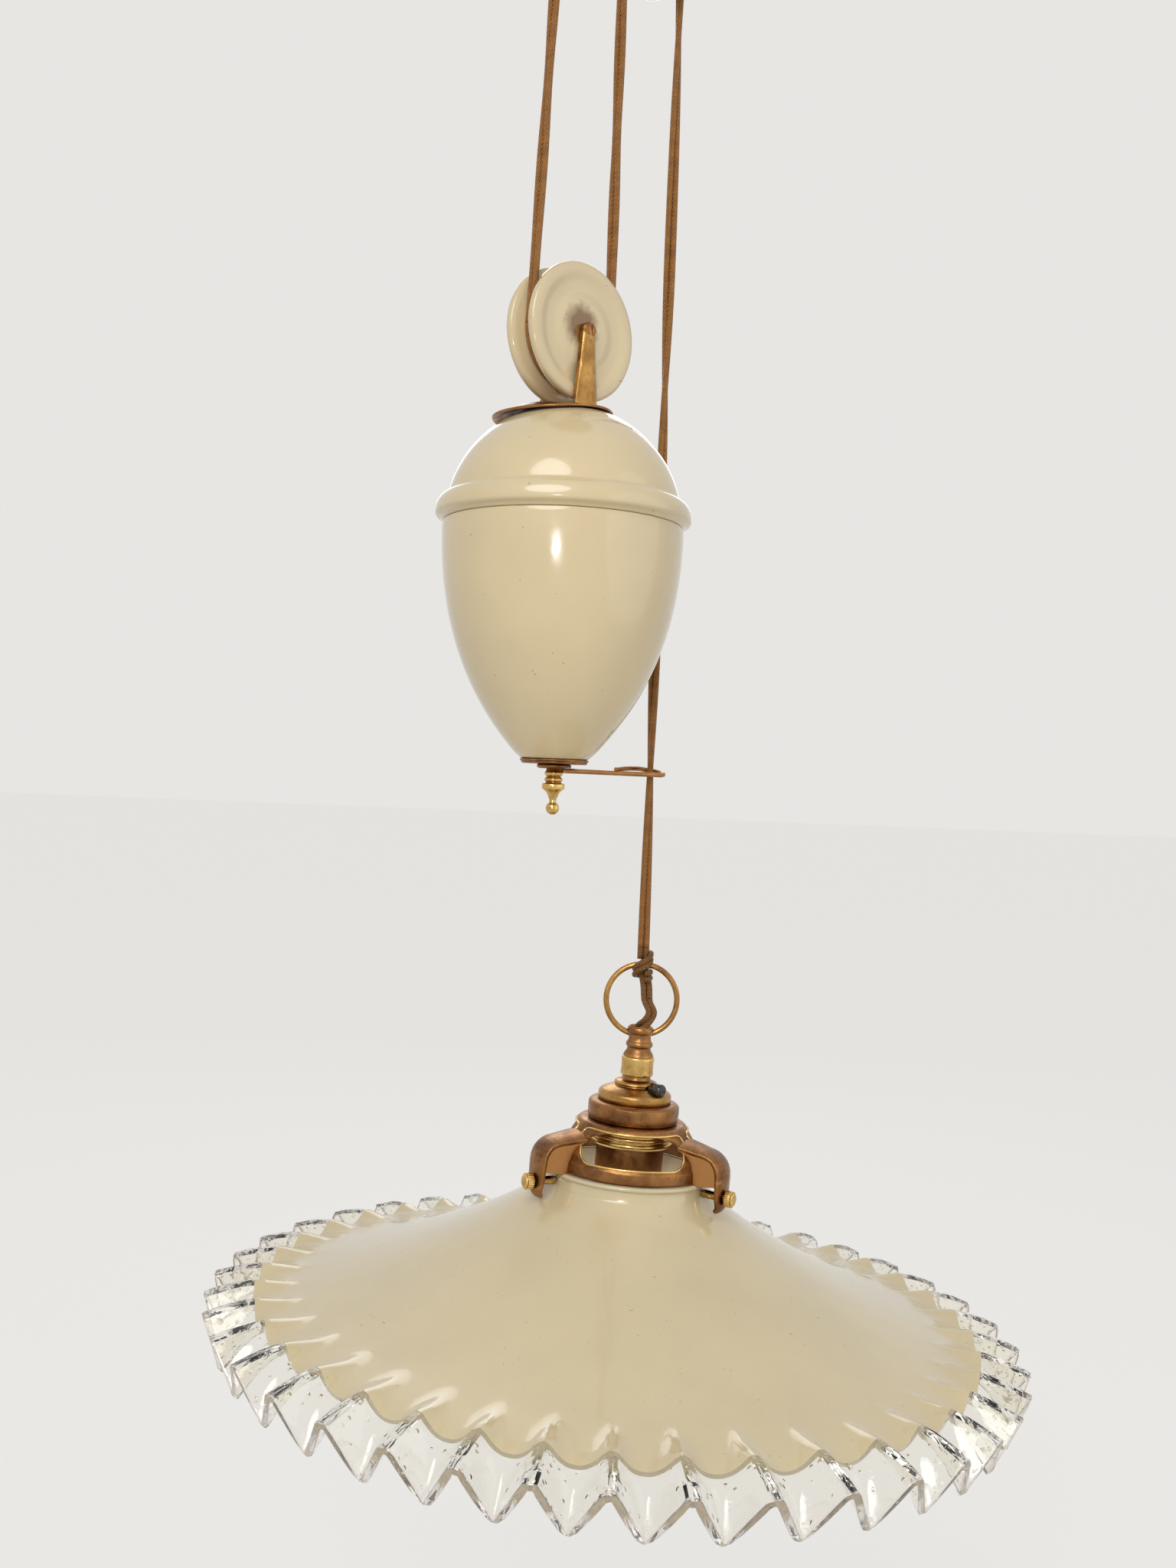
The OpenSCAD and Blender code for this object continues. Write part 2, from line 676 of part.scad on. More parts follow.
module cord_grip() {
    color("goldenrod")
        translate([-grip_x, 0, 0])
            difference() {
                union() {
                    translate([0, 0, grip_mouth_z])
                        cylinder(d = grip_d, h = strap_top_z + hex_nut_h - grip_mouth_z);
                    translate([0, 0, canopy_floor_z - grip_flange_t])
                        cylinder(d = grip_flange_d, h = grip_flange_t);
                }
                translate([0, 0, grip_mouth_z - 1])
                    cylinder(d = grip_bore_d, h = strap_top_z + hex_nut_h - grip_mouth_z + 2);
                translate([-grip_d / 2 - 1, 0, grip_screw_z])
                    rotate([0, 90, 0]) cylinder(d = grip_screw_d + 2 * thread_clearance, h = grip_d / 2 + 1);
            }
}

module grip_nut() {
    color("goldenrod")
        translate([-grip_x, 0, strap_top_z])
            hex_nut(grip_d + 4, grip_d + 2 * thread_clearance, hex_nut_h);
}

module grip_screw() {
    reach = core_d / 2 + 0.2;
    color("gold")
        translate([-grip_x, 0, grip_screw_z])
            rotate([0, -90, 0]) {
                translate([0, 0, reach]) cylinder(d = grip_screw_d, h = grip_d / 2 + 1 - reach);
                translate([0, 0, grip_d / 2 + 0.2]) cylinder(d = grip_screw_d + 2, h = 1.8);
            }
}

module terminal_block() {
    color("antiquewhite")
        difference() {
            translate([block_x, -block_w / 2, block_z]) cube([block_l, block_w, block_h]);
            translate([block_x - 1, -terminal_y - core_d / 2 - 0.4, tail_z - core_d / 2 - 0.4])
                cube([block_l / 2 + 1, 2 * terminal_y + core_d + 0.8, core_d + 0.8]);
            for (s = [-1, 1])
                translate([terminal_x, s * terminal_y, 0]) {
                    translate([0, 0, tail_z])
                        cylinder(d = terminal_screw_d + 2 * thread_clearance, h = block_h);
                    translate([0, 0, block_z + block_h - terminal_sink])
                        cylinder(d = terminal_head_d + 0.4, h = terminal_sink + 1);
                }
        }
}

module terminal_screws() {
    color("gold")
        for (s = [-1, 1])
            translate([terminal_x, s * terminal_y, 0]) {
                translate([0, 0, tail_z + core_d / 2 + 0.1])
                    cylinder(d = terminal_screw_d, h = block_h / 2 - core_d / 2 - terminal_sink + 0.4);
                translate([0, 0, block_z + block_h - terminal_sink])
                    cylinder(d = terminal_head_d, h = terminal_sink - 0.4);
            }
}

// ---- Flex ----

module flex_supply_tail() {
    color("peru")
        for (s = [-1, 1])
            tube([for (p = supply_points) [p[0], s * p[1], p[2]]], core_d, 8);
}

module flex_fixed_strand() {
    color("peru") strand(fixed_x, -counterweight_drop + end_gap, -grip_x, grip_mouth_z - end_gap);
}

module flex_middle_strand() {
    color("peru") strand(middle_x, -counterweight_drop, middle_x, -ceiling_wheel_drop);
}

module flex_lamp_strand() {
    color("peru") strand(lamp_x, ring_top_z + knot_top + core_d / 2 + 0.3, lamp_x, -ceiling_wheel_drop);
}

module flex_ceiling_wrap() {
    color("peru") at_ceiling_wheel() half_turn(ceiling_wheel_r, false);
}

module flex_counterweight_wrap() {
    color("peru") at_counterweight() half_turn(weight_wheel_r, true);
}

// Height of the knot's turns over the ring wire, for an angle that falls from 540 degrees
function knot_z(a) =
    a > 360 ? knot_above + (knot_top - knot_above) * (a - 360) / 180
    : a > 180 ? -knot_below + (knot_above + knot_below) * (a - 180) / 180
    : -knot_below - knot_pitch * (180 - a) / 360;

module flex_knot() {
    last = 180 - 360 * (knot_turns - 1);
    stub_top = knot_top + core_d / 2 + 0.3;
    stub_foot = ring_wire_d / 2 + flex_clearance;
    route = [
        for (a = [540:-15:last])
            [knot_r * cos(a - ring_turn), knot_r * sin(a - ring_turn), knot_z(a)]
    ];
    echo("least gap of the knot to itself", knot_pitch - core_d);
    color("peru")
        translate([lamp_x, 0, ring_top_z]) {
            tube(route, core_d, 6);
            translate([0, 0, stub_foot]) linear_extrude(stub_top - stub_foot) rotate(90) flex_section();
        }
}

module flex_tail_upper() {
    color("peru")
        translate([lamp_x, 0, -lamp_drop + tail_gap])
            linear_extrude(ring_r - tail_top - tail_gap) rotate(-ring_turn) flex_section();
}

module flex_tail_lower() {
    color("peru")
        at_lamp() {
            tube(front_core, core_d, 8);
            tube(back_core, core_d, 8);
        }
}

// ---- Counterweight ----

module at_counterweight() {
    translate([-counterweight_x, 0, -counterweight_drop]) children();
}

module counterweight_body() {
    inner = inset(cup_curve, 16, cup_t);
    hollow = [for (p = inner) if (p[1] > cup_foot_z + cup_floor) p];
    color("blanchedalmond")
        at_counterweight()
            rotate_extrude()
                polygon(concat(
                    [[rod_d / 2 + 0.2, cup_foot_z]],
                    reversed(curve(cup_curve, 16)),
                    [[cup_r - 1, cup_top_z], [cup_mouth_r, cup_top_z]],
                    hollow,
                    [[hollow[len(hollow) - 1][0] - 2, cup_foot_z + cup_floor],
                     [rod_d / 2 + 0.2, cup_foot_z + cup_floor]]
                ));
}

module counterweight_lid() {
    spigot = cup_mouth_r - porcelain_clearance - 0.7;
    edge_a = acos(crown_r / dome_r);
    foot_a = acos(dome_edge_r / dome_r);
    color("blanchedalmond")
        at_counterweight()
            rotate_extrude()
                polygon(concat(
                    [[rod_d / 2 + 0.2, cap_seat_z], [crown_r, cap_seat_z]],
                    arc([0, dome_z], dome_r, dome_rise, edge_a, foot_a, 12),
                    arc([dome_edge_r - 0.2, bead_z], bead_r - dome_edge_r + 0.2, bead_h * 0.9, 80, 0, 6),
                    arc([bead_r - 1.4, bead_z], 1.4, 1.2, -15, -80, 3),
                    [[cup_r, bead_z - 1.8], [cup_r - 0.5, cup_top_z], [spigot, cup_top_z],
                     [spigot, cup_top_z - spigot_l], [spigot - 3.5, cup_top_z - spigot_l],
                     [spigot - 3.5, dome_z]],
                    arc([0, dome_z], spigot - 3.5, dome_rise - dome_t - 3.4, 6, 84, 10),
                    [[rod_d / 2 + 0.2, dome_z + dome_rise - dome_t - 3.4]]
                ));
}

module ballast() {
    side = [
        for (p = inset(cup_curve, 24, cup_t + ballast_clearance))
            if (p[1] > cup_foot_z + cup_floor + 0.2 && p[1] < cup_foot_z + cup_floor + ballast_h) p
    ];
    color("dimgray")
        at_counterweight()
            rotate_extrude()
                polygon(concat(
                    [[rod_d / 2 + 0.4, cup_foot_z + cup_floor + ballast_h],
                     [side[0][0], cup_foot_z + cup_floor + ballast_h]],
                    side,
                    [[side[len(side) - 1][0] - 1.5, cup_foot_z + cup_floor],
                     [rod_d / 2 + 0.4, cup_foot_z + cup_floor]]
                ));
}

module tie_rod() {
    color("gold")
        at_counterweight() {
            translate([0, 0, rod_end_z]) cylinder(d = rod_d, h = fork_base_z - rod_end_z);
            translate([0, 0, fork_base_z]) cylinder(r = rod_head_r, h = rod_head_t);
        }
}

module top_cap() {
    edge_a = acos(crown_r / dome_r);
    foot_a = acos((top_cap_r + top_cap_shift + 1) / dome_r);
    color("saddlebrown")
        at_counterweight()
            difference() {
                intersection() {
                    rotate_extrude()
                        polygon(concat(
                            [[0, cap_seat_z], [crown_r, cap_seat_z]],
                            arc([0, dome_z + 0.2], dome_r, dome_rise, edge_a, foot_a, 6),
                            arc([0, dome_z + 0.2], dome_r + top_cap_t, dome_rise + top_cap_t,
                                foot_a, edge_a, 6),
                            [[crown_r, cap_seat_z + top_cap_t], [0, cap_seat_z + top_cap_t]]
                        ));
                    rotate(-ring_turn)
                        translate([-top_cap_shift, 0, cap_seat_z - 30]) cylinder(r = top_cap_r, h = 60);
                }
                translate([0, 0, cap_seat_z - 1]) cylinder(d = rod_d + 0.4, h = top_cap_t + 2);
            }
}

module counterweight_fork() {
    color("goldenrod")
        at_counterweight() {
            fork_arms(-fork_base_z);
            translate([0, 0, fork_base_z - fork_base_t])
                difference() {
                    translate([-fork_root_w / 2, -fork_out, 0])
                        cube([fork_root_w, 2 * fork_out, fork_base_t]);
                    translate([0, 0, -1]) cylinder(d = rod_d + 0.4, h = fork_base_t + 2);
                }
        }
}

module counterweight_pulley() {
    color("blanchedalmond") at_counterweight() wheel(weight_wheel_r, weight_flange);
}

module counterweight_axle() {
    color("gold") at_counterweight() axle();
}

module counterweight_axle_nut() {
    color("gold") at_counterweight() axle_nut();
}

module bottom_plate() {
    color("saddlebrown")
        at_counterweight()
            translate([0, 0, plate_z])
                difference() {
                    cylinder(r1 = cup_foot_r - 0.8, r2 = cup_foot_r + 0.1, h = bottom_plate_t);
                    translate([0, 0, -1]) cylinder(d = rod_d + 0.4, h = bottom_plate_t + 2);
                }
}

module guide_arm() {
    color("peru")
        at_counterweight() {
            difference() {
                translate([0, 0, hub_z]) cylinder(r = guide_hub_r, h = guide_hub_t);
                translate([0, 0, hub_z - 1]) cylinder(d = rod_d + 0.4, h = guide_hub_t + 2);
            }
            translate([guide_root, 0, guide_wire_z])
                rotate([0, 90, 0])
                    cylinder(d = guide_wire_d, h = guide_reach - guide_eye_r - guide_root);
            translate([guide_reach, 0, guide_wire_z])
                rotate_extrude() translate([guide_eye_r, 0]) circle(d = guide_wire_d);
        }
}

module finial() {
    l = finial_l;
    color("gold")
        at_counterweight()
            translate([0, 0, hub_z - l])
                difference() {
                    union() {
                        translate([0, 0, 2.3]) sphere(r = 2.3);
                        rotate_extrude()
                            polygon([
                                [0, 2.6], [1.7, 3.6], [1.6, 5], [2, 7.4],
                                [finial_collar_r - 0.8, l / 2 + 0.6],
                                [finial_collar_r, l / 2 + 1.2], [finial_collar_r, l / 2 + 2.6],
                                [finial_collar_r - 0.8, l / 2 + 3.2], [2.6, l / 2 + 3.4], [3, l - 3.8],
                                [3, l - 3.2], [2.5, l - 2.6], [3.1, l - 1.8], [3.1, l - 1], [2.8, l],
                                [0, l]
                            ]);
                    }
                    translate([0, 0, l - finial_l / 2 - 0.2])
                        cylinder(d = rod_d + 2 * thread_clearance, h = l);
                }
}

// ---- Lamp ----

module at_lamp() {
    translate([lamp_x, 0, ring_bottom_z])
        rotate(a = lamp_tilt, v = [sin(ring_turn), cos(ring_turn), 0])
            rotate(-ring_turn) children();
}

module suspension_ring() {
    color("gold")
        translate([lamp_x, 0, -lamp_drop])
            rotate(-ring_turn) rotate([90, 0, 0])
                rotate_extrude() translate([ring_r, 0]) circle(d = ring_wire_d);
}

module ring_boss() {
    r = boss_d / 2;
    color("goldenrod")
        at_lamp()
            difference() {
                rotate_extrude()
                    polygon(concat(
                        [[flex_way_d / 2, boss_up], [r - 0.8, boss_up]],
                        arc([r - 1.2, boss_up - 1.6], 1.2, 1.6, 70, -60, 5),
                        [[r - 0.6, -0.8], [r - 0.7, -2.4]],
                        arc([r - 1, -3.9], 0.9, 1.1, 60, -60, 4),
                        [[r - 0.4, -5.8], [collar_d / 2 - 0.5, collar_z], [spigot_r, collar_z],
                         [spigot_r, collar_z - 3], [flex_way_d / 2, collar_z - 3]]
                    ));
                translate([-r - 1, 0, 0.6]) rotate([0, 90, 0]) cylinder(d = cross_hole_d, h = boss_d + 2);
            }
}

module holder_collar() {
    r = collar_d / 2;
    color("gold")
        at_lamp()
            rotate_extrude()
                polygon([
                    [spigot_r + thread_clearance, collar_z], [r - 0.4, collar_z], [r, collar_z - 0.5],
                    [r - 0.15, collar_z - collar_h / 2], [r, collar_foot_z + 0.5],
                    [r - 0.4, collar_foot_z], [spigot_r + thread_clearance, collar_foot_z]
                ]);
}

module holder_cap() {
    way = flex_way_d / 2;
    color("goldenrod")
        at_lamp()
            difference() {
                rotate_extrude()
                    polygon(concat(
                        [[way, collar_foot_z + 3.6], [spigot_r, collar_foot_z + 3.6],
                         [spigot_r, collar_foot_z], [neck_d / 2, collar_foot_z],
                         [neck_d / 2, cap_top_z + 0.3]],
                        arc([neck_d / 2 + 1.5, flare_foot_z + 0.9], cap_r - neck_d / 2 - 2.4,
                            flare_h - 0.9, 88, 12, 6),
                        [[cap_r, flare_foot_z], [cap_r, cap_foot_z], [thread_r, cap_foot_z],
                         [thread_r, barrel_top_z], [cap_r - 3, barrel_top_z],
                         [cap_r - 3, flare_foot_z + 0.7], [way, flare_foot_z + 0.7]]
                    ));
                rotate(-45)
                    translate([0, 0, knob_z])
                        rotate([0, 90, 0]) {
                            cylinder(d = cord_screw_d + 2 * thread_clearance, h = cap_r);
                            translate([0, 0, knob_seat_r]) cylinder(d = knob_d + 0.2, h = cap_r);
                        }
            }
}

module cord_screw() {
    color("black")
        at_lamp()
            rotate(-45)
                translate([0, 0, knob_z])
                    rotate([0, 90, 0]) {
                        translate([0, 0, flex_way_d / 2 + 0.3])
                            cylinder(d = cord_screw_d, h = knob_seat_r - flex_way_d / 2);
                        translate([0, 0, knob_seat_r]) cylinder(d = knob_d, h = knob_l - 0.6);
                        translate([0, 0, knob_seat_r + knob_l - 0.6])
                            cylinder(d1 = knob_d, d2 = knob_d - 1.2, h = 0.6);
                    }
}

module shade_ring(r, top, h, lines) {
    grooves = [
        for (i = [1:lines])
            let (z = top - h * i / (lines + 1)) each [[r, z + 0.5], [r - 0.4, z], [r, z - 0.5]]
    ];
    rotate_extrude()
        polygon(concat(
            [[thread_r, top], [r - 1.6, top], [r, top - 0.9]],
            grooves,
            [[r, top - h + 0.4], [r - 0.4, top - h], [thread_r, top - h]]
        ));
}

module upper_shade_ring() {
    color("darkgoldenrod") at_lamp() shade_ring(barrel_r + upper_ring_w, cap_foot_z, upper_ring_h, 0);
}

module lower_shade_ring() {
    color("gold") at_lamp() shade_ring(barrel_r + lower_ring_w, lower_ring_z, lower_ring_h, 2);
}

// Side view of a claw: out from the cone, down in a bend, and curled in at its foot
module claw_profile() {
    route = concat(
        curve(claw_curve, 10),
        arc([claw_r - claw_curl, claw_foot_z], claw_curl, claw_curl, 0, -claw_curl_a, 4)
    );
    n = len(route) - 1;
    ways = [for (i = [0:n]) unit(route[min(i + 1, n)] - route[max(i - 1, 0)])];
    outer = [for (i = [0:n]) route[i] + claw_t / 2 * [-ways[i][1], ways[i][0]]];
    inner = [for (i = [0:n]) route[i] - claw_t / 2 * [-ways[i][1], ways[i][0]]];
    polygon(concat(outer, reversed(inner)));
}

// Side view of a claw's cheek: the sheet between the claw, the cone and the base
module cheek_profile() {
    polygon(concat(
        curve(claw_curve, 10),
        [
            [claw_r, gallery_foot_z + 0.5], [gallery_r - 0.6, gallery_foot_z + 0.5],
            [gallery_r - 1, shoulder_z], [gallery_r - 2.1, cone_foot_z + 0.6]
        ]
    ));
}

module gallery() {
    t = gallery_t;
    color("darkgoldenrod")
        at_lamp() {
            difference() {
                union() {
                    rotate_extrude()
                        polygon([
                            [thread_r + 0.1, gallery_z], [gallery_top_r, gallery_z],
                            [gallery_r - 1.6, cone_foot_z + 0.8], [gallery_r - 0.8, cone_foot_z - 0.6],
                            [gallery_r - 0.5, shoulder_z], [gallery_r, shoulder_z - 0.7],
                            [gallery_r, gallery_foot_z + 1], [gallery_r - 0.7, gallery_foot_z],
                            [gallery_r - t - 0.7, gallery_foot_z], [gallery_r - t - 0.5, shoulder_z],
                            [gallery_r - t - 0.8, cone_foot_z - 0.8], [gallery_r - t - 1.6, cone_foot_z],
                            [gallery_top_r - 0.6, gallery_z - t], [thread_r + 0.1, gallery_z - t]
                        ]);
                    for (a = claw_turns)
                        rotate([0, 0, a]) translate([0, claw_w / 2, 0])
                            rotate([90, 0, 0]) linear_extrude(claw_w) claw_profile();
                    for (a = claw_turns, side = [0, 1])
                        rotate([0, 0, a])
                            translate([0, claw_w / 2 - 0.2 - side * (claw_w - cheek_t - 0.4), 0])
                                rotate([90, 0, 0]) linear_extrude(cheek_t) cheek_profile();
                }
                for (a = window_turns)
                    rotate([0, 0, a])
                        translate([gallery_top_r - 3, 0, shoulder_z + 0.6])
                            window(gallery_r);
                for (a = claw_turns)
                    rotate([0, 0, a]) translate([claw_r - 3, 0, screw_z])
                        rotate([0, 90, 0]) cylinder(d = screw_d + 2 * thread_clearance, h = 6);
            }
        }
}

// A window's cutter: a rounded oblong that points outwards, standing on its lower edge
module window(l) {
    c = window_corner_r;
    rotate([90, 0, 90])
        linear_extrude(l) {
            translate([-window_w / 2 + c, 0]) square([window_w - 2 * c, window_h]);
            translate([-window_w / 2, c]) square([window_w, window_h - 2 * c]);
            for (sx = [-1, 1], z = [c, window_h - c]) translate([sx * (window_w / 2 - c), z]) circle(r = c);
        }
}

module gallery_screw(a) {
    color("gold")
        at_lamp()
            rotate(a)
                translate([0, 0, screw_z])
                    rotate([0, 90, 0]) {
                        translate([0, 0, screw_tip_r])
                            cylinder(d = screw_d, h = screw_seat_r - screw_tip_r);
                        translate([0, 0, screw_seat_r]) cylinder(d = screw_head_d, h = screw_head_l - 0.6);
                        translate([0, 0, screw_seat_r + screw_head_l - 0.6])
                            cylinder(d1 = screw_head_d, d2 = screw_head_d - 1.2, h = 0.6);
                    }
}

module gallery_screw_1() {
    gallery_screw(claw_turns[0]);
}

module gallery_screw_2() {
    gallery_screw(claw_turns[1]);
}

module gallery_screw_3() {
    gallery_screw(claw_turns[2]);
}

// One bayonet slot, cut from the mouth up, then aside, then back down for the pin to rest in
module bayonet_slot() {
    r = 2 * barrel_r;
    translate([0, -slot_w / 2, mouth_z - 1]) cube([r, slot_w, slot_l + 1]);
    translate([0, -slot_w / 2, mouth_z + slot_l - slot_w]) cube([r, slot_side + slot_w, slot_w]);
    translate([0, slot_side - slot_w / 2, mouth_z + slot_l - slot_w - 1.6]) cube([r, slot_w, slot_w]);
}

module holder_barrel() {
    bore = socket_d / 2;
    seat = bore + core_seat;
    color("peru")
        at_lamp()
            difference() {
                rotate_extrude()
                    polygon([
                        [seat, barrel_top_z], [barrel_r, barrel_top_z], [barrel_r, mouth_z + 1],
                        [barrel_r + 0.5, mouth_z + 0.5], [barrel_r, mouth_z], [bore, mouth_z],
                        [bore, ledge_z], [ledge_r, ledge_z], [ledge_r, ledge_z + ledge_t],
                        [seat, ledge_z + ledge_t]
                    ]);
                for (a = [0, 180]) rotate(a) bayonet_slot();
            }
}

module insulator() {
    color("antiquewhite")
        at_lamp()
            difference() {
                translate([0, 0, insulator_z]) cylinder(r = insulator_r, h = insulator_top_z - insulator_z);
                for (s = [-1, 1]) {
                    translate([s * contact_x, 0, insulator_z - 1])
                        cylinder(d = contact_d + 2 * contact_clearance, h = 6);
                    translate([s * contact_x, 0, chamber_z])
                        cylinder(d = chamber_d, h = chamber_top_z - chamber_z);
                    translate([0, s * core_x, core_end_z - 0.3]) cylinder(d = core_hole_d, h = 20);
                    translate([0, s * core_x, terminal_screw_z])
                        rotate([-s * 90, 0, 0])
                            cylinder(d = terminal_screw_d + 2 * thread_clearance, h = insulator_r);
                }
            }
}

module insulator_screws() {
    color("gold")
        at_lamp()
            for (s = [-1, 1])
                translate([0, s * (core_x + core_d / 2 + 0.15), terminal_screw_z])
                    rotate([-s * 90, 0, 0])
                        cylinder(d = terminal_screw_d, h = insulator_r - core_x - core_d / 2 - 0.6);
}

module contact_springs() {
    foot = contact_head_z + contact_head_h;
    color("silver")
        at_lamp()
            for (s = [-1, 1])
                translate([s * contact_x, 0, foot])
                    difference() {
                        cylinder(d = chamber_d - 0.4, h = chamber_top_z - foot);
                        translate([0, 0, -1])
                            cylinder(d = chamber_d - 0.4 - 2 * spring_wall, h = chamber_top_z - foot + 2);
                    }
}

module contact_plungers() {
    color("gold")
        at_lamp()
            for (s = [-1, 1])
                translate([s * contact_x, 0, contact_tip_z]) {
                    translate([0, 0, 0.4]) cylinder(d = contact_d, h = contact_head_z - contact_tip_z - 0.4);
                    cylinder(d1 = contact_d - 0.8, d2 = contact_d, h = 0.4);
                    translate([0, 0, contact_head_z - contact_tip_z])
                        cylinder(d = chamber_d - 0.4, h = contact_head_h);
                }
}

module shade() {
    r = glass_neck_r;
    color("oldlace")
        at_lamp()
            rotate_extrude()
                polygon(concat(
                    [[r - glass_t, glass_top_z], [r + lip_out - 0.4, glass_top_z],
                     [r + lip_out, glass_top_z - 0.4], [r + lip_out, glass_top_z - lip_h + 0.3],
                     [r, glass_top_z - lip_h]],
                    curve(shade_curve, 20),
                    reversed(inset(shade_curve, 20, glass_t))
                ));
}

// How far a place on the crimped edge stands off its middle: 1 at a tip, -1 at a valley
function crimp(k, steps) = 1 - 4 * abs(k / steps - 0.5);

function rim_point(row, k, steps, side) =
    let (
        s = rim_rows[row],
        lift = crimp(k % steps, steps) * crimp_h / 2 * pow(s, 0.72) + side * rim_t / 2,
        lean = -rim_lean,
        r = rim_start_r + (rim_r - rim_start_r) * s + lift * sin(lean),
        z = rim_start_z - rim_fall * pow(s, 1.6) - lift * cos(lean),
        a = 360 * k / steps / pleats
    )
    [r * cos(a), r * sin(a), z];

module shade_rim() {
    steps = 4;
    n = steps * pleats;
    rows = len(rim_rows);
    points = [
        for (side = [1, -1], row = [0:rows - 1], k = [0:n - 1]) rim_point(row, k, steps, side)
    ];
    under = rows * n;
    walls = [
        for (row = [0:rows - 2], k = [0:n - 1])
            let (a = row * n + k, b = row * n + (k + 1) % n)
                each [
                    [a, a + n, b + n], [a, b + n, b],
                    [under + a, under + b + n, under + a + n], [under + a, under + b, under + b + n]
                ]
    ];
    edges = [
        for (k = [0:n - 1])
            let (a = k, b = (k + 1) % n, c = (rows - 1) * n)
                each [
                    [a, b, under + b], [a, under + b, under + a],
                    [c + a, under + c + b, c + b], [c + a, under + c + a, under + c + b]
                ]
    ];
    color("lightcyan", 0.6)
        at_lamp()
            rotate(360 / pleats / 2 + pleat_turn) polyhedron(points, concat(walls, edges), convexity = 10);
}

mounting_strap();
canopy();
hanger_fork();
stem_nut();
canopy_nut();
ceiling_pulley();
ceiling_axle();
ceiling_axle_nut();
cord_grip();
grip_nut();
grip_screw();
terminal_block();
terminal_screws();
flex_supply_tail();
flex_fixed_strand();
flex_counterweight_wrap();
flex_middle_strand();
flex_ceiling_wrap();
flex_lamp_strand();
flex_knot();
flex_tail_upper();
flex_tail_lower();
counterweight_body();
counterweight_lid();
ballast();
tie_rod();
top_cap();
counterweight_fork();
counterweight_pulley();
counterweight_axle();
counterweight_axle_nut();
bottom_plate();
guide_arm();
finial();
suspension_ring();
ring_boss();
holder_collar();
holder_cap();
cord_screw();
upper_shade_ring();
gallery();
lower_shade_ring();
holder_barrel();
insulator();
insulator_screws();
contact_springs();
contact_plungers();
gallery_screw_1();
gallery_screw_2();
gallery_screw_3();
shade();
shade_rim();
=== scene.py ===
"""Rise and fall pendant: a porcelain counterweight, silk flex over two wheels, and a crimped glass shade."""

import json
from math import acos, atan2, cos, degrees, pi, radians, sin, sqrt, tau

import bpy
from mathutils import Matrix, Vector


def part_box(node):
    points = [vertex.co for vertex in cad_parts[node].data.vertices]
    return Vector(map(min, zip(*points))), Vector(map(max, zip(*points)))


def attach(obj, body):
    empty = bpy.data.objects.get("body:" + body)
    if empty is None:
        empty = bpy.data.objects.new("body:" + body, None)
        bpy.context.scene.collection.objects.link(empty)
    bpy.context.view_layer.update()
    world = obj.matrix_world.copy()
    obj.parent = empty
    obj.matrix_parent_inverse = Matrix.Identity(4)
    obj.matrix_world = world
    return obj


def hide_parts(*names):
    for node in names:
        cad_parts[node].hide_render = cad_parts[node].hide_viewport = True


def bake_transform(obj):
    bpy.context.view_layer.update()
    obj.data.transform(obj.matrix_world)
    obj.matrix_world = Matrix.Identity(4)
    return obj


MM = 0.001

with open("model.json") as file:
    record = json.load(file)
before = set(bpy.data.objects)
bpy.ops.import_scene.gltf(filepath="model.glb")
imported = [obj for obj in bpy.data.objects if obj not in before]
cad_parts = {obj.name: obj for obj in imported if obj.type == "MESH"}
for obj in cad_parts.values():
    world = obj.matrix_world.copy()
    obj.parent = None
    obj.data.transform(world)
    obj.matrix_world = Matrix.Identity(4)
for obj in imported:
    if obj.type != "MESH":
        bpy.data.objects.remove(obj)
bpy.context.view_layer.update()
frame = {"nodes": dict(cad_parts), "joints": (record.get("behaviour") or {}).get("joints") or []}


# ---------------------------------------------------------------- places, from the frame

def centre(node):
    low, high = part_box(node)
    return (low + high) / 2


def joint(name):
    return next(j for j in frame["joints"] if j["name"] == name)


UP = Vector((0, 0, 1))
SIDE = Vector(joint("ring_swing")["axis"]).normalized()      # along the ring's wire, to the right
AWAY = UP.cross(SIDE)                                        # away from the viewer
LAMP_UP = Vector(joint("contact_press")["axis"]).normalized()
CEILING_AXLE = Vector(joint("ceiling_wheel_spin")["pos_m"])
WEIGHT_AXLE = Vector(joint("counterweight_wheel_spin")["pos_m"])
RING = centre("suspension_ring")
LAMP_PIVOT = Vector(joint("lamp_swing")["pos_m"])
RING_TOP = Vector(joint("ring_swing")["pos_m"])


def basis(origin, x, y, z):
    made = Matrix((x, y, z)).transposed().to_4x4()
    made.translation = origin
    return made


AT_LAMP = basis(LAMP_PIVOT, AWAY.cross(LAMP_UP), AWAY, LAMP_UP)
AT_WEIGHT = Matrix.Translation(WEIGHT_AXLE)
AT_CEILING_WHEEL = Matrix.Translation(CEILING_AXLE)
AT_KNOT = basis(RING_TOP, SIDE, AWAY, UP)
ALONG_Y = Matrix.Rotation(-pi / 2, 4, "X")                   # turns a piece's upright axis to +Y


# ---------------------------------------------------------------- camera, lights and floor

CAMERA_AT = Vector((-0.3789, -0.3905, -0.376))
CAMERA_TURN = radians(-44)
CAMERA_ROLL = radians(2.2)
FOCAL_LENGTH = 35.0
SENSOR_LONG_SIDE = 36.0
FLOOR_AT = (0, 0, -0.78)
FLOOR_SIZE = 90
FLOOR_GLOW = 1.125       # brings the floor's own colour level with the room's


def look_at(place, target):
    made = (target - place).to_track_quat("-Z", "Y").to_matrix().to_4x4()
    made.translation = place
    return made


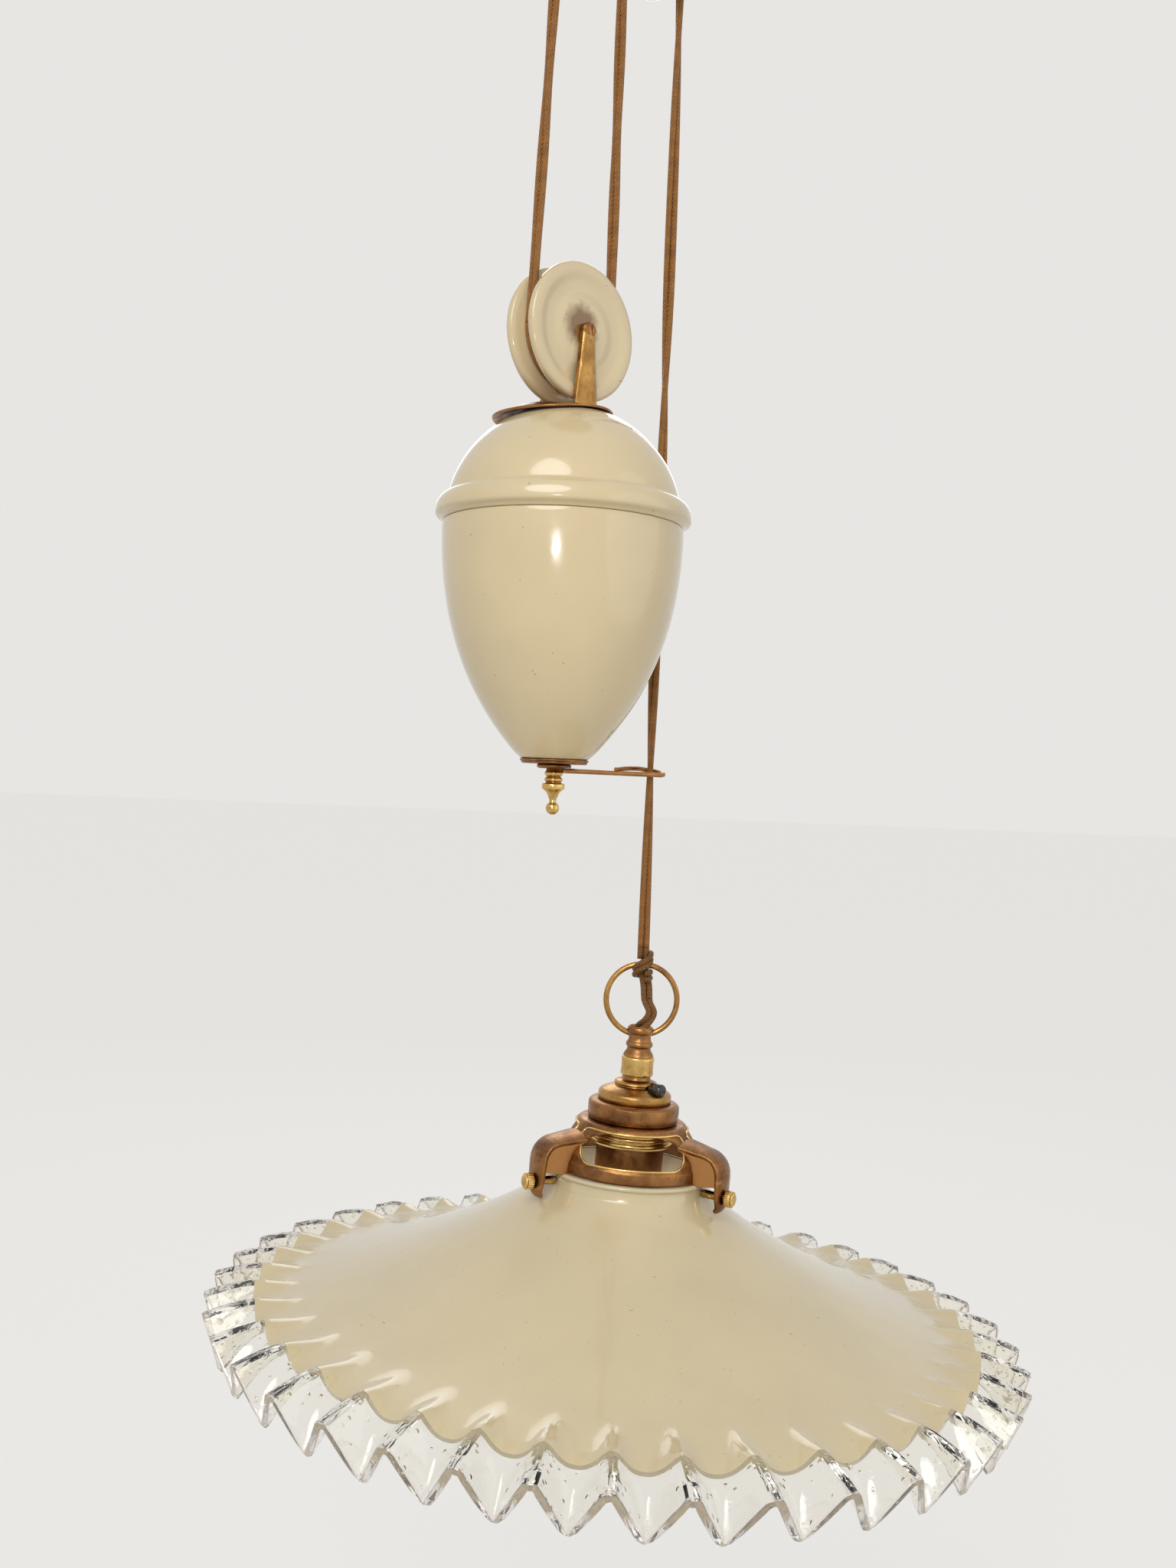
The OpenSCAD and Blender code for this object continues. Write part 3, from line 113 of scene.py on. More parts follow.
def add_camera():
    data = bpy.data.cameras.new("camera")
    data.lens = FOCAL_LENGTH
    data.sensor_width = SENSOR_LONG_SIDE
    data.clip_start, data.clip_end = 0.01, 20
    camera = bpy.data.objects.new("camera", data)
    bpy.context.scene.collection.objects.link(camera)
    level = Matrix.Rotation(CAMERA_TURN, 4, "Z") @ Matrix.Rotation(pi / 2, 4, "X")
    camera.matrix_world = Matrix.Translation(CAMERA_AT) @ level @ Matrix.Rotation(CAMERA_ROLL, 4, "Z")
    bpy.context.scene.camera = camera


def add_light(name, place, target, size, power):
    data = bpy.data.lights.new(name, "AREA")
    data.shape = "DISK"
    data.size = size
    data.energy = power
    light = bpy.data.objects.new(name, data)
    bpy.context.scene.collection.objects.link(light)
    light.matrix_world = look_at(Vector(place), Vector(target))


def add_floor(colour):
    """A wide pale floor: the camera, metal and glass see its plain colour, and it keeps the shadows."""
    deselect()
    bpy.ops.mesh.primitive_plane_add(size=FLOOR_SIZE, location=FLOOR_AT)
    floor = bpy.context.object
    floor.name = "floor"
    made = bpy.data.materials.new("floor")
    made.use_nodes = True
    tree = made.node_tree
    surface = tree.nodes["Principled BSDF"]
    surface.inputs["Base Color"].default_value = (*colour, 1)
    surface.inputs["Roughness"].default_value = 1.0
    surface.inputs["Specular IOR Level"].default_value = 0.0
    plain = node(tree, "Emission", {"Color": (*colour, 1), "Strength": FLOOR_GLOW})
    share = math(tree, "MULTIPLY", seen_by_eye(tree), 0.8)
    mixed = node(tree, "MixShader", {0: share, 1: surface.outputs[0], 2: plain.outputs[0]})
    tree.links.new(mixed.outputs[0], tree.nodes["Material Output"].inputs["Surface"])
    floor.data.materials.append(made)


def seen_by_eye(tree):
    """1 for what the eye sees, straight or through metal and glass, and 0 for the light on the object."""
    rays = node(tree, "LightPath")
    seen = math(tree, "MAXIMUM", rays.outputs["Is Camera Ray"], rays.outputs["Is Glossy Ray"])
    return math(tree, "MAXIMUM", seen, rays.outputs["Is Transmission Ray"])


def add_world(colour, light_level):
    """A pale room: its light is soft, and the camera, metal and glass see its plain colour."""
    world = bpy.data.worlds.new("room")
    bpy.context.scene.world = world
    world.use_nodes = True
    tree = world.node_tree
    tree.nodes.clear()
    lit = node(tree, "Background", {"Color": (*colour, 1), "Strength": light_level})
    shown = node(tree, "Background", {"Color": (*colour, 1), "Strength": 1.0})
    mixed = node(tree, "MixShader", {0: seen_by_eye(tree), 1: lit.outputs[0], 2: shown.outputs[0]})
    node(tree, "OutputWorld", {"Surface": mixed.outputs[0]})


# ---------------------------------------------------------------- material tools

def node(tree, kind, inputs=None, **settings):
    made = tree.nodes.new("ShaderNode" + kind)
    for name, value in settings.items():
        setattr(made, name, value)
    for name, value in (inputs or {}).items():
        socket = made.inputs[name]
        if isinstance(value, bpy.types.NodeSocket):
            tree.links.new(value, socket)
        else:
            socket.default_value = value
    return made


def ramp(tree, factor, stops):
    """Colours along a factor, from (place, colour) pairs."""
    made = node(tree, "ValToRGB", {"Fac": factor})
    elements = made.color_ramp.elements
    (first, first_colour), (last, last_colour) = stops[0], stops[-1]
    elements[0].position, elements[1].position = first, last
    elements[0].color, elements[1].color = (*first_colour, 1), (*last_colour, 1)
    for place, colour in stops[1:-1]:
        elements.new(place).color = (*colour, 1)
    return made.outputs["Color"]


def spread(tree, value, low, high, to_low, to_high):
    return node(tree, "MapRange", {"Value": value, "From Min": low, "From Max": high,
                                   "To Min": to_low, "To Max": to_high}).outputs["Result"]


def mix(tree, factor, a, b):
    made = node(tree, "Mix", data_type="RGBA")
    for index, value in ((0, factor), (6, a), (7, b)):
        if isinstance(value, bpy.types.NodeSocket):
            tree.links.new(value, made.inputs[index])
        else:
            made.inputs[index].default_value = value if index == 0 else (*value, 1)
    return made.outputs[2]


def math(tree, operation, a, b=0.0):
    return node(tree, "Math", {0: a, 1: b}, operation=operation).outputs[0]


def noise(tree, where, scale, detail=3.0, rough=0.5):
    return node(tree, "TexNoise", {"Vector": where, "Scale": scale, "Detail": detail,
                                   "Roughness": rough}).outputs["Fac"]


def patchy(tree, where, scale, detail, low, high):
    """A value that drifts between low and high over the piece."""
    return spread(tree, noise(tree, where, scale, detail), 0.3, 0.7, low, high)


def tone(colour, share):
    """A darker or paler tone of a colour."""
    return tuple(min(1, c * share) for c in colour)


def flecked(tree, tint, grains, low, high, share, colour):
    """The tint, with flecks of another colour where the grains are high."""
    flecks = ramp(tree, grains, [(low, (0, 0, 0)), (high, (1, 1, 1))])
    return mix(tree, math(tree, "MULTIPLY", flecks, share), tint, colour)


def bump(tree, height, strength, distance, below=None):
    inputs = {"Height": height, "Strength": strength, "Distance": distance}
    if below:
        inputs["Normal"] = below
    return node(tree, "Bump", inputs).outputs["Normal"]


def principled(name, **shader):
    made = bpy.data.materials.new(name)
    made.use_nodes = True
    surface = made.node_tree.nodes["Principled BSDF"]
    for socket, value in shader.items():
        surface.inputs[socket.replace("_", " ")].default_value = value
    where = node(made.node_tree, "TexCoord").outputs["Object"]
    return made, made.node_tree, surface, where


def connect(tree, surface, **sockets):
    for name, value in sockets.items():
        tree.links.new(value, surface.inputs[name.replace("_", " ")])


# ---------------------------------------------------------------- finishes

def glazed(name, colour, grime, specks, stain=None):
    """Glossy white glaze: slightly cloudy, a few dark specks, and painted shade darkening its grooves where
    ambient occlusion is high.
    """
    made, tree, surface, where = principled(name, Roughness=0.16, Coat_Weight=0.5, Coat_Roughness=0.04)
    tint = ramp(tree, noise(tree, where, 38, 4), [(0.35, colour), (0.65, tone(colour, 1.05))])
    tint = flecked(tree, tint, noise(tree, where, 620, 1), specks, specks + 0.03, 0.55, grime)
    # painted shade: the glaze is darkened where ambient occlusion finds grooves and hollows
    occlusion_shade = node(tree, "AmbientOcclusion", {"Distance": 0.004}, samples=8).outputs["AO"]
    tint = mix(tree, spread(tree, occlusion_shade, 0.1, 0.6, 0.5, 0.0), tint, tone(colour, 0.45))
    if stain:
        flat = node(tree, "VectorMath", {0: where, 1: (1, 0, 1)}, operation="MULTIPLY").outputs["Vector"]
        reach = node(tree, "VectorMath", {0: flat, 1: (stain.x, 0, stain.z)},
                     operation="DISTANCE").outputs["Value"]
        ragged = math(tree, "ADD", reach, math(tree, "MULTIPLY", noise(tree, where, 300, 3), 0.005))
        tint = mix(tree, spread(tree, ragged, 0.0072, 0.0112, 0.95, 0.0), tint, (0.22, 0.10, 0.018))
    wave = bump(tree, noise(tree, where, 130, 2), 0.08, 0.0004)
    connect(tree, surface, Base_Color=tint, Normal=wave,
            Roughness=patchy(tree, where, 210, 3, 0.11, 0.22))
    return made


def bisque(name, colour):
    """Unglazed porcelain: matt, with a fine grain."""
    made, tree, surface, where = principled(name)
    grain = noise(tree, where, 1400, 3)
    tint = ramp(tree, noise(tree, where, 150, 5), [(0.3, tone(colour, 0.82)), (0.6, colour)])
    connect(tree, surface, Base_Color=tint,
            Normal=bump(tree, grain, 0.25, 0.0002), Roughness=spread(tree, grain, 0.3, 0.7, 0.55, 0.8))
    return made


def old_brass(name, bright, dark, rough, worn, marks=0.0):
    """Old brass: clouds of tarnish, small stains, bare metal where it is rubbed, and painted shade in its
    hollows.
    """
    made, tree, surface, where = principled(name, Metallic=1.0)
    tint = ramp(tree, noise(tree, where, 95, 6, 0.62), [(0.36, dark), (0.62, bright)])
    tint = flecked(tree, tint, noise(tree, where, 620, 4, 0.65), 0.55, 0.72, 0.5, tone(dark, 0.45))
    edge = node(tree, "NewGeometry").outputs["Pointiness"]
    tint = mix(tree, spread(tree, edge, 0.515, 0.58, 0.0, worn), tint, tone(bright, 1.35))
    # painted shade: the metal is darkened where ambient occlusion finds hollows
    occlusion_shade = node(tree, "AmbientOcclusion", {"Distance": 0.003}, samples=6).outputs["AO"]
    tint = mix(tree, spread(tree, occlusion_shade, 0.15, 0.8, 0.7, 0.0), tint, tone(dark, 0.3))
    height = noise(tree, where, 1900, 3)
    if marks:
        rings = node(tree, "TexWave", {"Vector": where, "Scale": 620, "Distortion": 1.2, "Detail": 1},
                     bands_direction="Z").outputs["Fac"]
        height = math(tree, "ADD", height, math(tree, "MULTIPLY", rings, marks))
    connect(tree, surface, Base_Color=tint, Normal=bump(tree, height, 0.22, 0.00012),
            Roughness=patchy(tree, where, 260, 5, rough * 0.7, rough * 1.35))
    return made


def silk(name, bright, dark):
    """Braided silk on one core: two families of threads cross along the piece's own length, with painted
    shade in the hollows between them.
    """
    made, tree, surface, _ = principled(
        name, Sheen_Weight=0.08, Sheen_Roughness=0.3, Sheen_Tint=(1, 0.7, 0.35, 1),
        Specular_IOR_Level=0.8, Specular_Tint=(1, 0.74, 0.4, 1))
    spot = node(tree, "UVMap", uv_map="flex").outputs["UV"]
    around, along = 9, 0.62
    threads = []
    for way in (1, -1):
        turn = node(tree, "VectorMath", {0: spot, 1: (tau * around, way * tau * along, 0)},
                    operation="DOT_PRODUCT").outputs["Value"]
        threads.append(math(tree, "SINE", turn))
    over = math(tree, "MAXIMUM", *threads)
    cross = math(tree, "MULTIPLY", *threads)
    height = math(tree, "ADD", over, math(tree, "MULTIPLY", cross, 0.5))
    drift = noise(tree, spot, 0.22, 4, 0.7)
    # painted shade: the braid is coloured darker in the hollows between threads and lighter on their crowns
    tint = ramp(tree, spread(tree, height, -1.0, 1.2, 0.0, 1.0), [(0.25, dark), (0.8, bright)])
    tint = mix(tree, spread(tree, drift, 0.35, 0.65, 0.0, 0.55), tint, dark)
    connect(tree, surface, Base_Color=tint, Normal=bump(tree, height, 0.75, 0.00018),
            Roughness=spread(tree, over, -1.0, 1.0, 0.52, 0.27))
    return made


def opal(name, colour):
    """Opal glass: milky, a little light inside it, with fine seeds and a fire polished face."""
    made, tree, surface, where = principled(
        name, Subsurface_Weight=0.25, Subsurface_Scale=0.004, Subsurface_Radius=(1.0, 0.85, 0.6),
        Coat_Weight=0.6, Coat_Roughness=0.05)
    cloud = noise(tree, where, 26, 5, 0.55)
    tint = ramp(tree, cloud, [(0.3, tone(colour, 0.95)), (0.7, tone(colour, 1.03))])
    tint = flecked(tree, tint, noise(tree, where, 760, 1), 0.765, 0.79, 0.5, (0.30, 0.20, 0.08))
    connect(tree, surface, Base_Color=tint,
            Normal=bump(tree, noise(tree, where, 60, 2), 0.12, 0.0008),
            Roughness=patchy(tree, where, 180, 3, 0.14, 0.26))
    return made


def clear_glass(name, colour, glint_edge_colour):
    """Clear pressed glass: faintly warm, seeds near the opal, and a fire polished edge painted whitish and
    less clear, a painted highlight for the glint along its thick rim.
    """
    made, tree, surface, where = principled(name, IOR=1.5)
    # painted highlight: the marked free edge is made whitish, less clear and rougher, for the glint along its
    # thick rim
    edge = node(tree, "Attribute", attribute_name="edge").outputs["Fac"]
    seeds = node(tree, "TexVoronoi", {"Vector": where, "Scale": 260, "Randomness": 1.0}).outputs["Distance"]
    seed_height = spread(tree, seeds, 0.0, 0.2, 1.0, 0.0)
    ripple = bump(tree, noise(tree, where, 90, 3), 0.3, 0.0009)
    connect(tree, surface, Base_Color=mix(tree, edge, colour, glint_edge_colour),
            Transmission_Weight=spread(tree, edge, 0.0, 1.0, 1.0, 0.8),
            Normal=bump(tree, seed_height, 0.9, 0.0006, ripple),
            Roughness=math(tree, "ADD", math(tree, "MULTIPLY", edge, 0.16),
                           spread(tree, noise(tree, where, 300, 2), 0.35, 0.75, 0.01, 0.07)))
    return made


def black_gloss(name):
    made, tree, surface, where = principled(name, Coat_Weight=0.4, Coat_Roughness=0.05)
    tint = ramp(tree, noise(tree, where, 500, 4),
                [(0.3, (0.008, 0.007, 0.006)), (0.8, (0.03, 0.022, 0.016))])
    connect(tree, surface, Base_Color=tint, Normal=bump(tree, noise(tree, where, 1600, 2), 0.12, 0.0001),
            Roughness=patchy(tree, where, 700, 3, 0.12, 0.3))
    return made


def grey_metal(name, light, dark, rough, grain, metallic=1.0):
    made, tree, surface, where = principled(name, Metallic=metallic)
    rust = noise(tree, where, grain, 6, 0.65)
    connect(tree, surface, Base_Color=ramp(tree, rust, [(0.35, dark), (0.65, light)]),
            Normal=bump(tree, rust, 0.4, 0.0003), Roughness=spread(tree, rust, 0.3, 0.7, rough, rough * 1.5))
    return made


# ---------------------------------------------------------------- modelling tools

def active():
    return bpy.context.view_layer.objects.active


def deselect():
    bpy.ops.object.select_all(action="DESELECT")


def pick(piece):
    """The piece alone is selected, and active."""
    deselect()
    piece.select_set(True)
    bpy.context.view_layer.objects.active = piece


def edit_mode(on):
    bpy.ops.object.mode_set(mode="EDIT" if on else "OBJECT")


def apply(piece, kind, **settings):
    made = piece.modifiers.new(kind.lower(), kind)
    for name, value in settings.items():
        setattr(made, name, value)
    bpy.context.view_layer.objects.active = piece
    bpy.ops.object.modifier_apply(modifier=made.name)


def soften(piece, width, segments=2, angle=32):
    apply(piece, "BEVEL", width=width * MM, segments=segments, limit_method="ANGLE",
          angle_limit=radians(angle), miter_outer="MITER_ARC", use_clamp_overlap=True)


def smooth(piece, angle=35):
    pick(piece)
    bpy.ops.object.shade_smooth_by_angle(angle=radians(angle))


def select_mesh(on=True):
    """In edit mode: all of the piece is selected, or none of it."""
    bpy.ops.mesh.select_all(action="SELECT" if on else "DESELECT")


def tidy_mesh():
    """In edit mode: doubles merged, and every face turned outwards."""
    select_mesh()
    bpy.ops.mesh.remove_doubles(threshold=2e-6)
    bpy.ops.mesh.normals_make_consistent(inside=False)


def place(piece, matrix):
    """Puts a piece modelled at the origin where it belongs, and leaves its place in its mesh."""
    pick(piece)
    piece.matrix_world = matrix
    bpy.ops.object.transform_apply(location=True, rotation=True, scale=True)
    return piece


def drawn(name, points):
    """A chain of edges through points given in millimetres."""
    deselect()
    bpy.ops.mesh.primitive_plane_add(size=MM)
    piece = active()
    piece.name = piece.data.name = name
    edit_mode(True)
    bpy.ops.mesh.select_mode(type="VERT")
    select_mesh()
    bpy.ops.mesh.merge(type="CENTER")
    here = Vector(points[0]) * MM
    bpy.ops.transform.translate(value=here)
    for point in points[1:]:
        step = Vector(point) * MM - here
        bpy.ops.mesh.extrude_vertices_move(TRANSFORM_OT_translate={"value": step})
        here = here + step
    return piece


def plate(name, outline, depth):
    """A flat plate from its outline, made as thick along Y as depth says, in millimetres."""
    piece = drawn(name, outline)
    select_mesh()
    bpy.ops.mesh.remove_doubles(threshold=1e-6)
    bpy.ops.mesh.edge_face_add()
    bpy.ops.mesh.extrude_region_move(TRANSFORM_OT_translate={"value": (0, depth * MM, 0)})
    tidy_mesh()
    edit_mode(False)
    return piece


def turned(name, outline, steps=96, edge=0.0, closed=True, smoothing=35, at=None):
    """A lathe piece: an outline of (radius, height) pairs, spun about the upright axis."""
    points = [(r, 0, z) for r, z in outline]
    if closed and outline[0][0] > 0:
        points.append(points[0])
    piece = drawn(name, points)
    select_mesh()
    bpy.ops.mesh.spin(steps=steps, angle=tau, center=(0, 0, 0), axis=(0, 0, 1))
    tidy_mesh()
    edit_mode(False)
    if edge:
        soften(piece, edge)
    smooth(piece, smoothing)
    if at:
        place(piece, at)
    return piece


def joined(name, pieces):
    deselect()
    for piece in pieces:
        piece.select_set(True)
    bpy.context.view_layer.objects.active = pieces[0]
    bpy.ops.object.join()
    pieces[0].name = pieces[0].data.name = name
    return pieces[0]


def dress(piece, material, body, slot, *nodes):
    piece.data.materials.clear()
    piece.data.materials.append(material)
    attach(piece, body)
    if nodes:
        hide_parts(*nodes)
    return piece


def block(name, size, middle, edge):
    """A small solid block with rounded edges, in millimetres."""
    deselect()
    bpy.ops.mesh.primitive_cube_add(size=MM, location=Vector(middle) * MM, scale=size)
    piece = active()
    piece.name = piece.data.name = name
    bpy.ops.object.transform_apply(location=True, rotation=True, scale=True)
    if edge:
        soften(piece, edge)
    smooth(piece)
    return piece


def rod(name, radius, length, middle=(0, 0, 0), turn=(0, 0, 0), sides=32, edge=0.2):
    """A round rod or pin with softened ends, in millimetres; it stands upright before it is turned."""
    deselect()
    bpy.ops.mesh.primitive_cylinder_add(radius=radius * MM, depth=length * MM, vertices=sides,
                                        location=Vector(middle) * MM, rotation=turn)
    piece = active()
    piece.name = piece.data.name = name
    bpy.ops.object.transform_apply(location=True, rotation=True, scale=True)
    if edge:
        soften(piece, edge, 2, 60 if sides > 8 else 32)
    smooth(piece)
    return piece


def cut(piece, cutter):
    """Takes the cutter's shape out of a piece."""
    apply(piece, "BOOLEAN", object=cutter, operation="DIFFERENCE", solver="EXACT")
    bpy.data.objects.remove(cutter)


def arc(middle, rx, rz, start, end, steps):
    return [(middle[0] + rx * cos(radians(start + (end - start) * i / steps)),
             middle[1] + rz * sin(radians(start + (end - start) * i / steps))) for i in range(steps + 1)]


def bezier(p, t):
    k = 1 - t
    return tuple(k**3 * p[0][i] + 3 * t * k * k * p[1][i] + 3 * t * t * k * p[2][i] + t**3 * p[3][i]
                 for i in (0, 1))


def bezier_way(p, t):
    k = 1 - t
    x, z = (k * k * (p[1][i] - p[0][i]) + 2 * t * k * (p[2][i] - p[1][i]) + t * t * (p[3][i] - p[2][i])
            for i in (0, 1))
    return x / sqrt(x * x + z * z), z / sqrt(x * x + z * z)


def curve(p, steps, inset=0.0):
    """Points along a curve, or along its copy set in to the left of its way."""
    made = []
    for i in range(steps + 1):
        t = i / steps
        (x, z), (wx, wz) = bezier(p, t), bezier_way(p, t)
        made.append((x + inset * wz, z - inset * wx))
    return made


# ---------------------------------------------------------------- the flex

CORE_R = 1.1
CORE_SPREAD = 1.08
CORE_SIDES = 12


def tube(cores):
    """Closed round tubes along lines of points in metres; UVs go round once, and along in millimetres."""
    sides = CORE_SIDES
    verts, faces, uvs = [], [], []
    for line in cores:
        first, run = len(verts), 0.0
        ways = [(line[min(i + 1, len(line) - 1)] - line[max(i - 1, 0)]).normalized()
                for i in range(len(line))]
        out = ways[0].orthogonal().normalized()
        for i, (point, way) in enumerate(zip(line, ways)):
            out = (out - way * out.dot(way)).normalized()
            across = way.cross(out)
            run += (point - line[i - 1]).length / MM if i else 0
            for k in range(sides):
                a = tau * k / sides
                verts.append(point + CORE_R * MM * (cos(a) * out + sin(a) * across))
            if i:
                low = first + (i - 1) * sides
                for k in range(sides):
                    n = (k + 1) % sides
                    faces.append((low + k, low + n, low + sides + n, low + sides + k))
                    u0, u1 = k / sides, (k + 1) / sides
                    before = run - (point - line[i - 1]).length / MM
                    uvs += [(u0, before), (u1, before), (u1, run), (u0, run)]
        last = len(verts) - sides
        faces.append(tuple(first + k for k in reversed(range(sides))))
        faces.append(tuple(last + k for k in range(sides)))
        uvs += [(0.5, 0)] * sides + [(0.5, run)] * sides
    return verts, faces, uvs


def flex(name, cores, material, nodes):
    verts, faces, uvs = tube(cores)
    mesh = bpy.data.meshes.new(name)
    mesh.from_pydata(verts, [], faces)
    layer = mesh.uv_layers.new(name="flex")
    for loop, uv in zip(layer.data, uvs):
        loop.uv = uv
    mesh.shade_smooth()
    piece = bpy.data.objects.new(name, mesh)
    bpy.context.scene.collection.objects.link(piece)
    mesh.materials.append(material)
    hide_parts(*nodes)
    return piece


def twin(line, sides_way):
    """The two cores beside a centre line, each pushed out along the way given for every point."""
    push = CORE_SPREAD * MM
    return [[p + s * push * w for p, w in zip(line, sides_way)] for s in (1, -1)]


def strand(start, end, first_way, last_way, half_turns, steps):
    """A taut stretch of flex that twists slowly between its ends."""
    way = (end - start).normalized()
    a = (first_way - way * first_way.dot(way)).normalized()
    b = way.cross(a)
    last = (last_way - way * last_way.dot(way)).normalized()
    total = atan2(last.dot(b), last.dot(a)) + half_turns * pi
    line = [start.lerp(end, i / steps) for i in range(steps + 1)]
    turns = [total * i / steps + 0.3 * sin(pi * i / steps) * sin(5 * pi * i / steps)
             for i in range(steps + 1)]
    return twin(line, [cos(t) * a + sin(t) * b for t in turns])


def half_turn(middle, radius, lower):
    """Flex lying in a wheel's groove, its two cores side by side along the axle."""
    sign = -1 if lower else 1
    line = [middle + radius * MM * Vector((cos(pi * i / 40), 0, sign * sin(pi * i / 40))) for i in range(41)]
    return twin(line, [Vector((0, 1, 0))] * len(line))


def smooth_line(points, steps):
    """A smooth way through points, as Catmull and Rom draw it."""
    made = []
    for i in range(len(points) - 1):
        p0, p1, p2, p3 = (points[max(0, min(len(points) - 1, i + k))] for k in (-1, 0, 1, 2))
        for j in range(steps):
            t = j / steps
            made.append(0.5 * ((2 * p1) + (p2 - p0) * t + (2 * p0 - 5 * p1 + 4 * p2 - p3) * t * t
                               + (3 * p1 - p0 - 3 * p2 + p3) * t**3))
    made.append(points[-1])
    return made


WEIGHT_WHEEL_R = 18.7
CEILING_WHEEL_R = 14.95
STUB_TOP = 6.05          # top of the knot's stub over the ring's wire
Y = Vector((0, 1, 0))


def add_flex(silk_flex, shaded_silk):
    low_x = WEIGHT_AXLE.x
    left = Vector((low_x - WEIGHT_WHEEL_R * MM, 0, WEIGHT_AXLE.z))
    right = Vector((low_x + WEIGHT_WHEEL_R * MM, 0, WEIGHT_AXLE.z))
    top_left = CEILING_AXLE - Vector((CEILING_WHEEL_R * MM, 0, 0))
    top_right = CEILING_AXLE + Vector((CEILING_WHEEL_R * MM, 0, 0))
    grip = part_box("flex_fixed_strand")[1]
    grip = Vector((centre("cord_grip").x, 0, grip.z))
    knot_top = RING_TOP + Vector((0, 0, STUB_TOP * MM))

    for name, start, end, ways, turns, lower_body in (
        ("fixed_strand", grip, left, (Y, Y), 0, "counterweight"),
        ("middle_strand", top_left, right, (Y, Y), 0, "counterweight"),
        ("lamp_strand", top_right, knot_top, (Y, SIDE), 2, "lamp_line"),
    ):
        cores = strand(start, end, *ways, turns, max(40, int((start - end).length / MM / 1.5)))
        piece = flex("silk_" + name, cores, silk_flex, ["flex_" + name])
        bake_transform(piece)

    wrap = flex("silk_counterweight_wrap", half_turn(WEIGHT_AXLE, WEIGHT_WHEEL_R, True), silk_flex,
                ["flex_counterweight_wrap"])
    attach(wrap, "counterweight")
    wrap = flex("silk_ceiling_wrap", half_turn(CEILING_AXLE, CEILING_WHEEL_R, False), silk_flex,
                ["flex_ceiling_wrap"])
    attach(wrap, "ceiling")
    add_supply_tail(silk_flex)
    add_knot(shaded_silk)


def add_supply_tail(silk_flex):
    x = centre("cord_grip").x
    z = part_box("flex_supply_tail")[0].z
    block_low, block_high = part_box("terminal_block")
    spots = [(0, 0, 0), (0, 0, 10), (0, 0, 20), (0, 0, 30), (0, 0, 40.5), (0.8, 0, 43), (3, 0, 44.4),
             (6, 0.4, 44.2)]
    cores = []
    for s in (1, -1):
        points = [Vector((x + dx * MM, s * (CORE_SPREAD + dy) * MM, z + dz * MM)) for dx, dy, dz in spots]
        target = Vector((block_low.x, s * 3.1 * MM, (block_low.z + block_high.z) / 2))
        points.append(points[-1].lerp(target, 0.5) + Vector((0, 0, 0.8 * MM)))
        points.append(target)
        points.append(Vector((block_low.x + 6 * MM, s * 3.75 * MM, target.z)))
        cores.append(smooth_line(points, 6))
    piece = flex("silk_supply_tail", cores, silk_flex, ["flex_supply_tail"])
    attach(piece, "ceiling")


def add_knot(shaded_silk):
    """The flex goes through the ring, and its end is wound round it twice before it runs on to the lamp."""
    radius, rise, gap = 2.85, 2.9, 2.15
    cores = twin([AT_KNOT @ (Vector((0, 0, z)) * MM) for z in (STUB_TOP, 5, 4, 3, 2)], [SIDE] * 5)
    for s in (1, -1):
        points = []
        for a in range(456, -75, -12):
            if a > 360:
                z = rise + (a - 360) / 180 * 0.6
            elif a > 180:
                z = rise * (a - 270) / 90
            else:
                z = -rise - (180 - a) / 360 * 2.0
            turn = radians(a)
            reach = radius * (1 - 0.5 * max(0, (a - 420) / 60))
            points.append(AT_KNOT @ (Vector((reach * cos(turn), reach * sin(turn), z + s * gap / 2)) * MM))
        cores.append(points)
    neck = [(0.3, 0.6, -2.2), (0.9, 0.3, -4.5), (1.5, 0, -7.4)]
    neck = smooth_line([AT_KNOT @ (Vector(p) * MM) for p in neck], 5)
    cores += twin(neck, [SIDE] * len(neck))
    knot = flex("silk_knot", cores, shaded_silk, ["flex_knot"])
    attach(knot, "lamp_line")

    ring_r = (RING_TOP - RING).length / MM
    upper = smooth_line([AT_KNOT @ (Vector(p) * MM) for p in
                         [(1.45, 0, -7.2), (1.7, -0.1, -9), (1.8, -0.5, -11), (2.0, -0.8, -ring_r)]], 6)
    upper_ways = [SIDE.lerp((SIDE + 0.7 * UP).normalized(), (i / (len(upper) - 1)) ** 2).normalized()
                  for i in range(len(upper))]
    tail = flex("silk_tail_upper", twin(upper, upper_ways), shaded_silk, ["flex_tail_upper"])
    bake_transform(tail)

    lower = []
    for s, spots in (
        (1, [(3.3, -0.7, -1.2), (4.8, -1.2, -4.6), (3.4, -1.8, -7.8), (0.9, -2.2, -10.4)]),
        (-1, [(1.5, -1.0, -1.3), (2.8, -1.5, -4.4), (1.5, -1.9, -7.2), (-0.8, 0.9, -9.8)]),
    ):
        points = [upper[-1] + s * CORE_SPREAD * MM * upper_ways[-1]]
        points += [RING + MM * (x * SIDE + y * AWAY + z * UP) for x, y, z in spots]
        points += [AT_LAMP @ (Vector((0, -s * 2.45, z)) * MM) for z in (1.2, -3, -9, -18, -27.5)]
        lower.append(smooth_line(points, 6))
    tail = flex("silk_tail_lower", lower, shaded_silk, ["flex_tail_lower"])
    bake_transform(tail)


# ---------------------------------------------------------------- wheels, axles and nuts

AXLE_R = 1.3
FORK_IN = 7.7
FORK_OUT = 9.5
WHEEL_W = 14.6


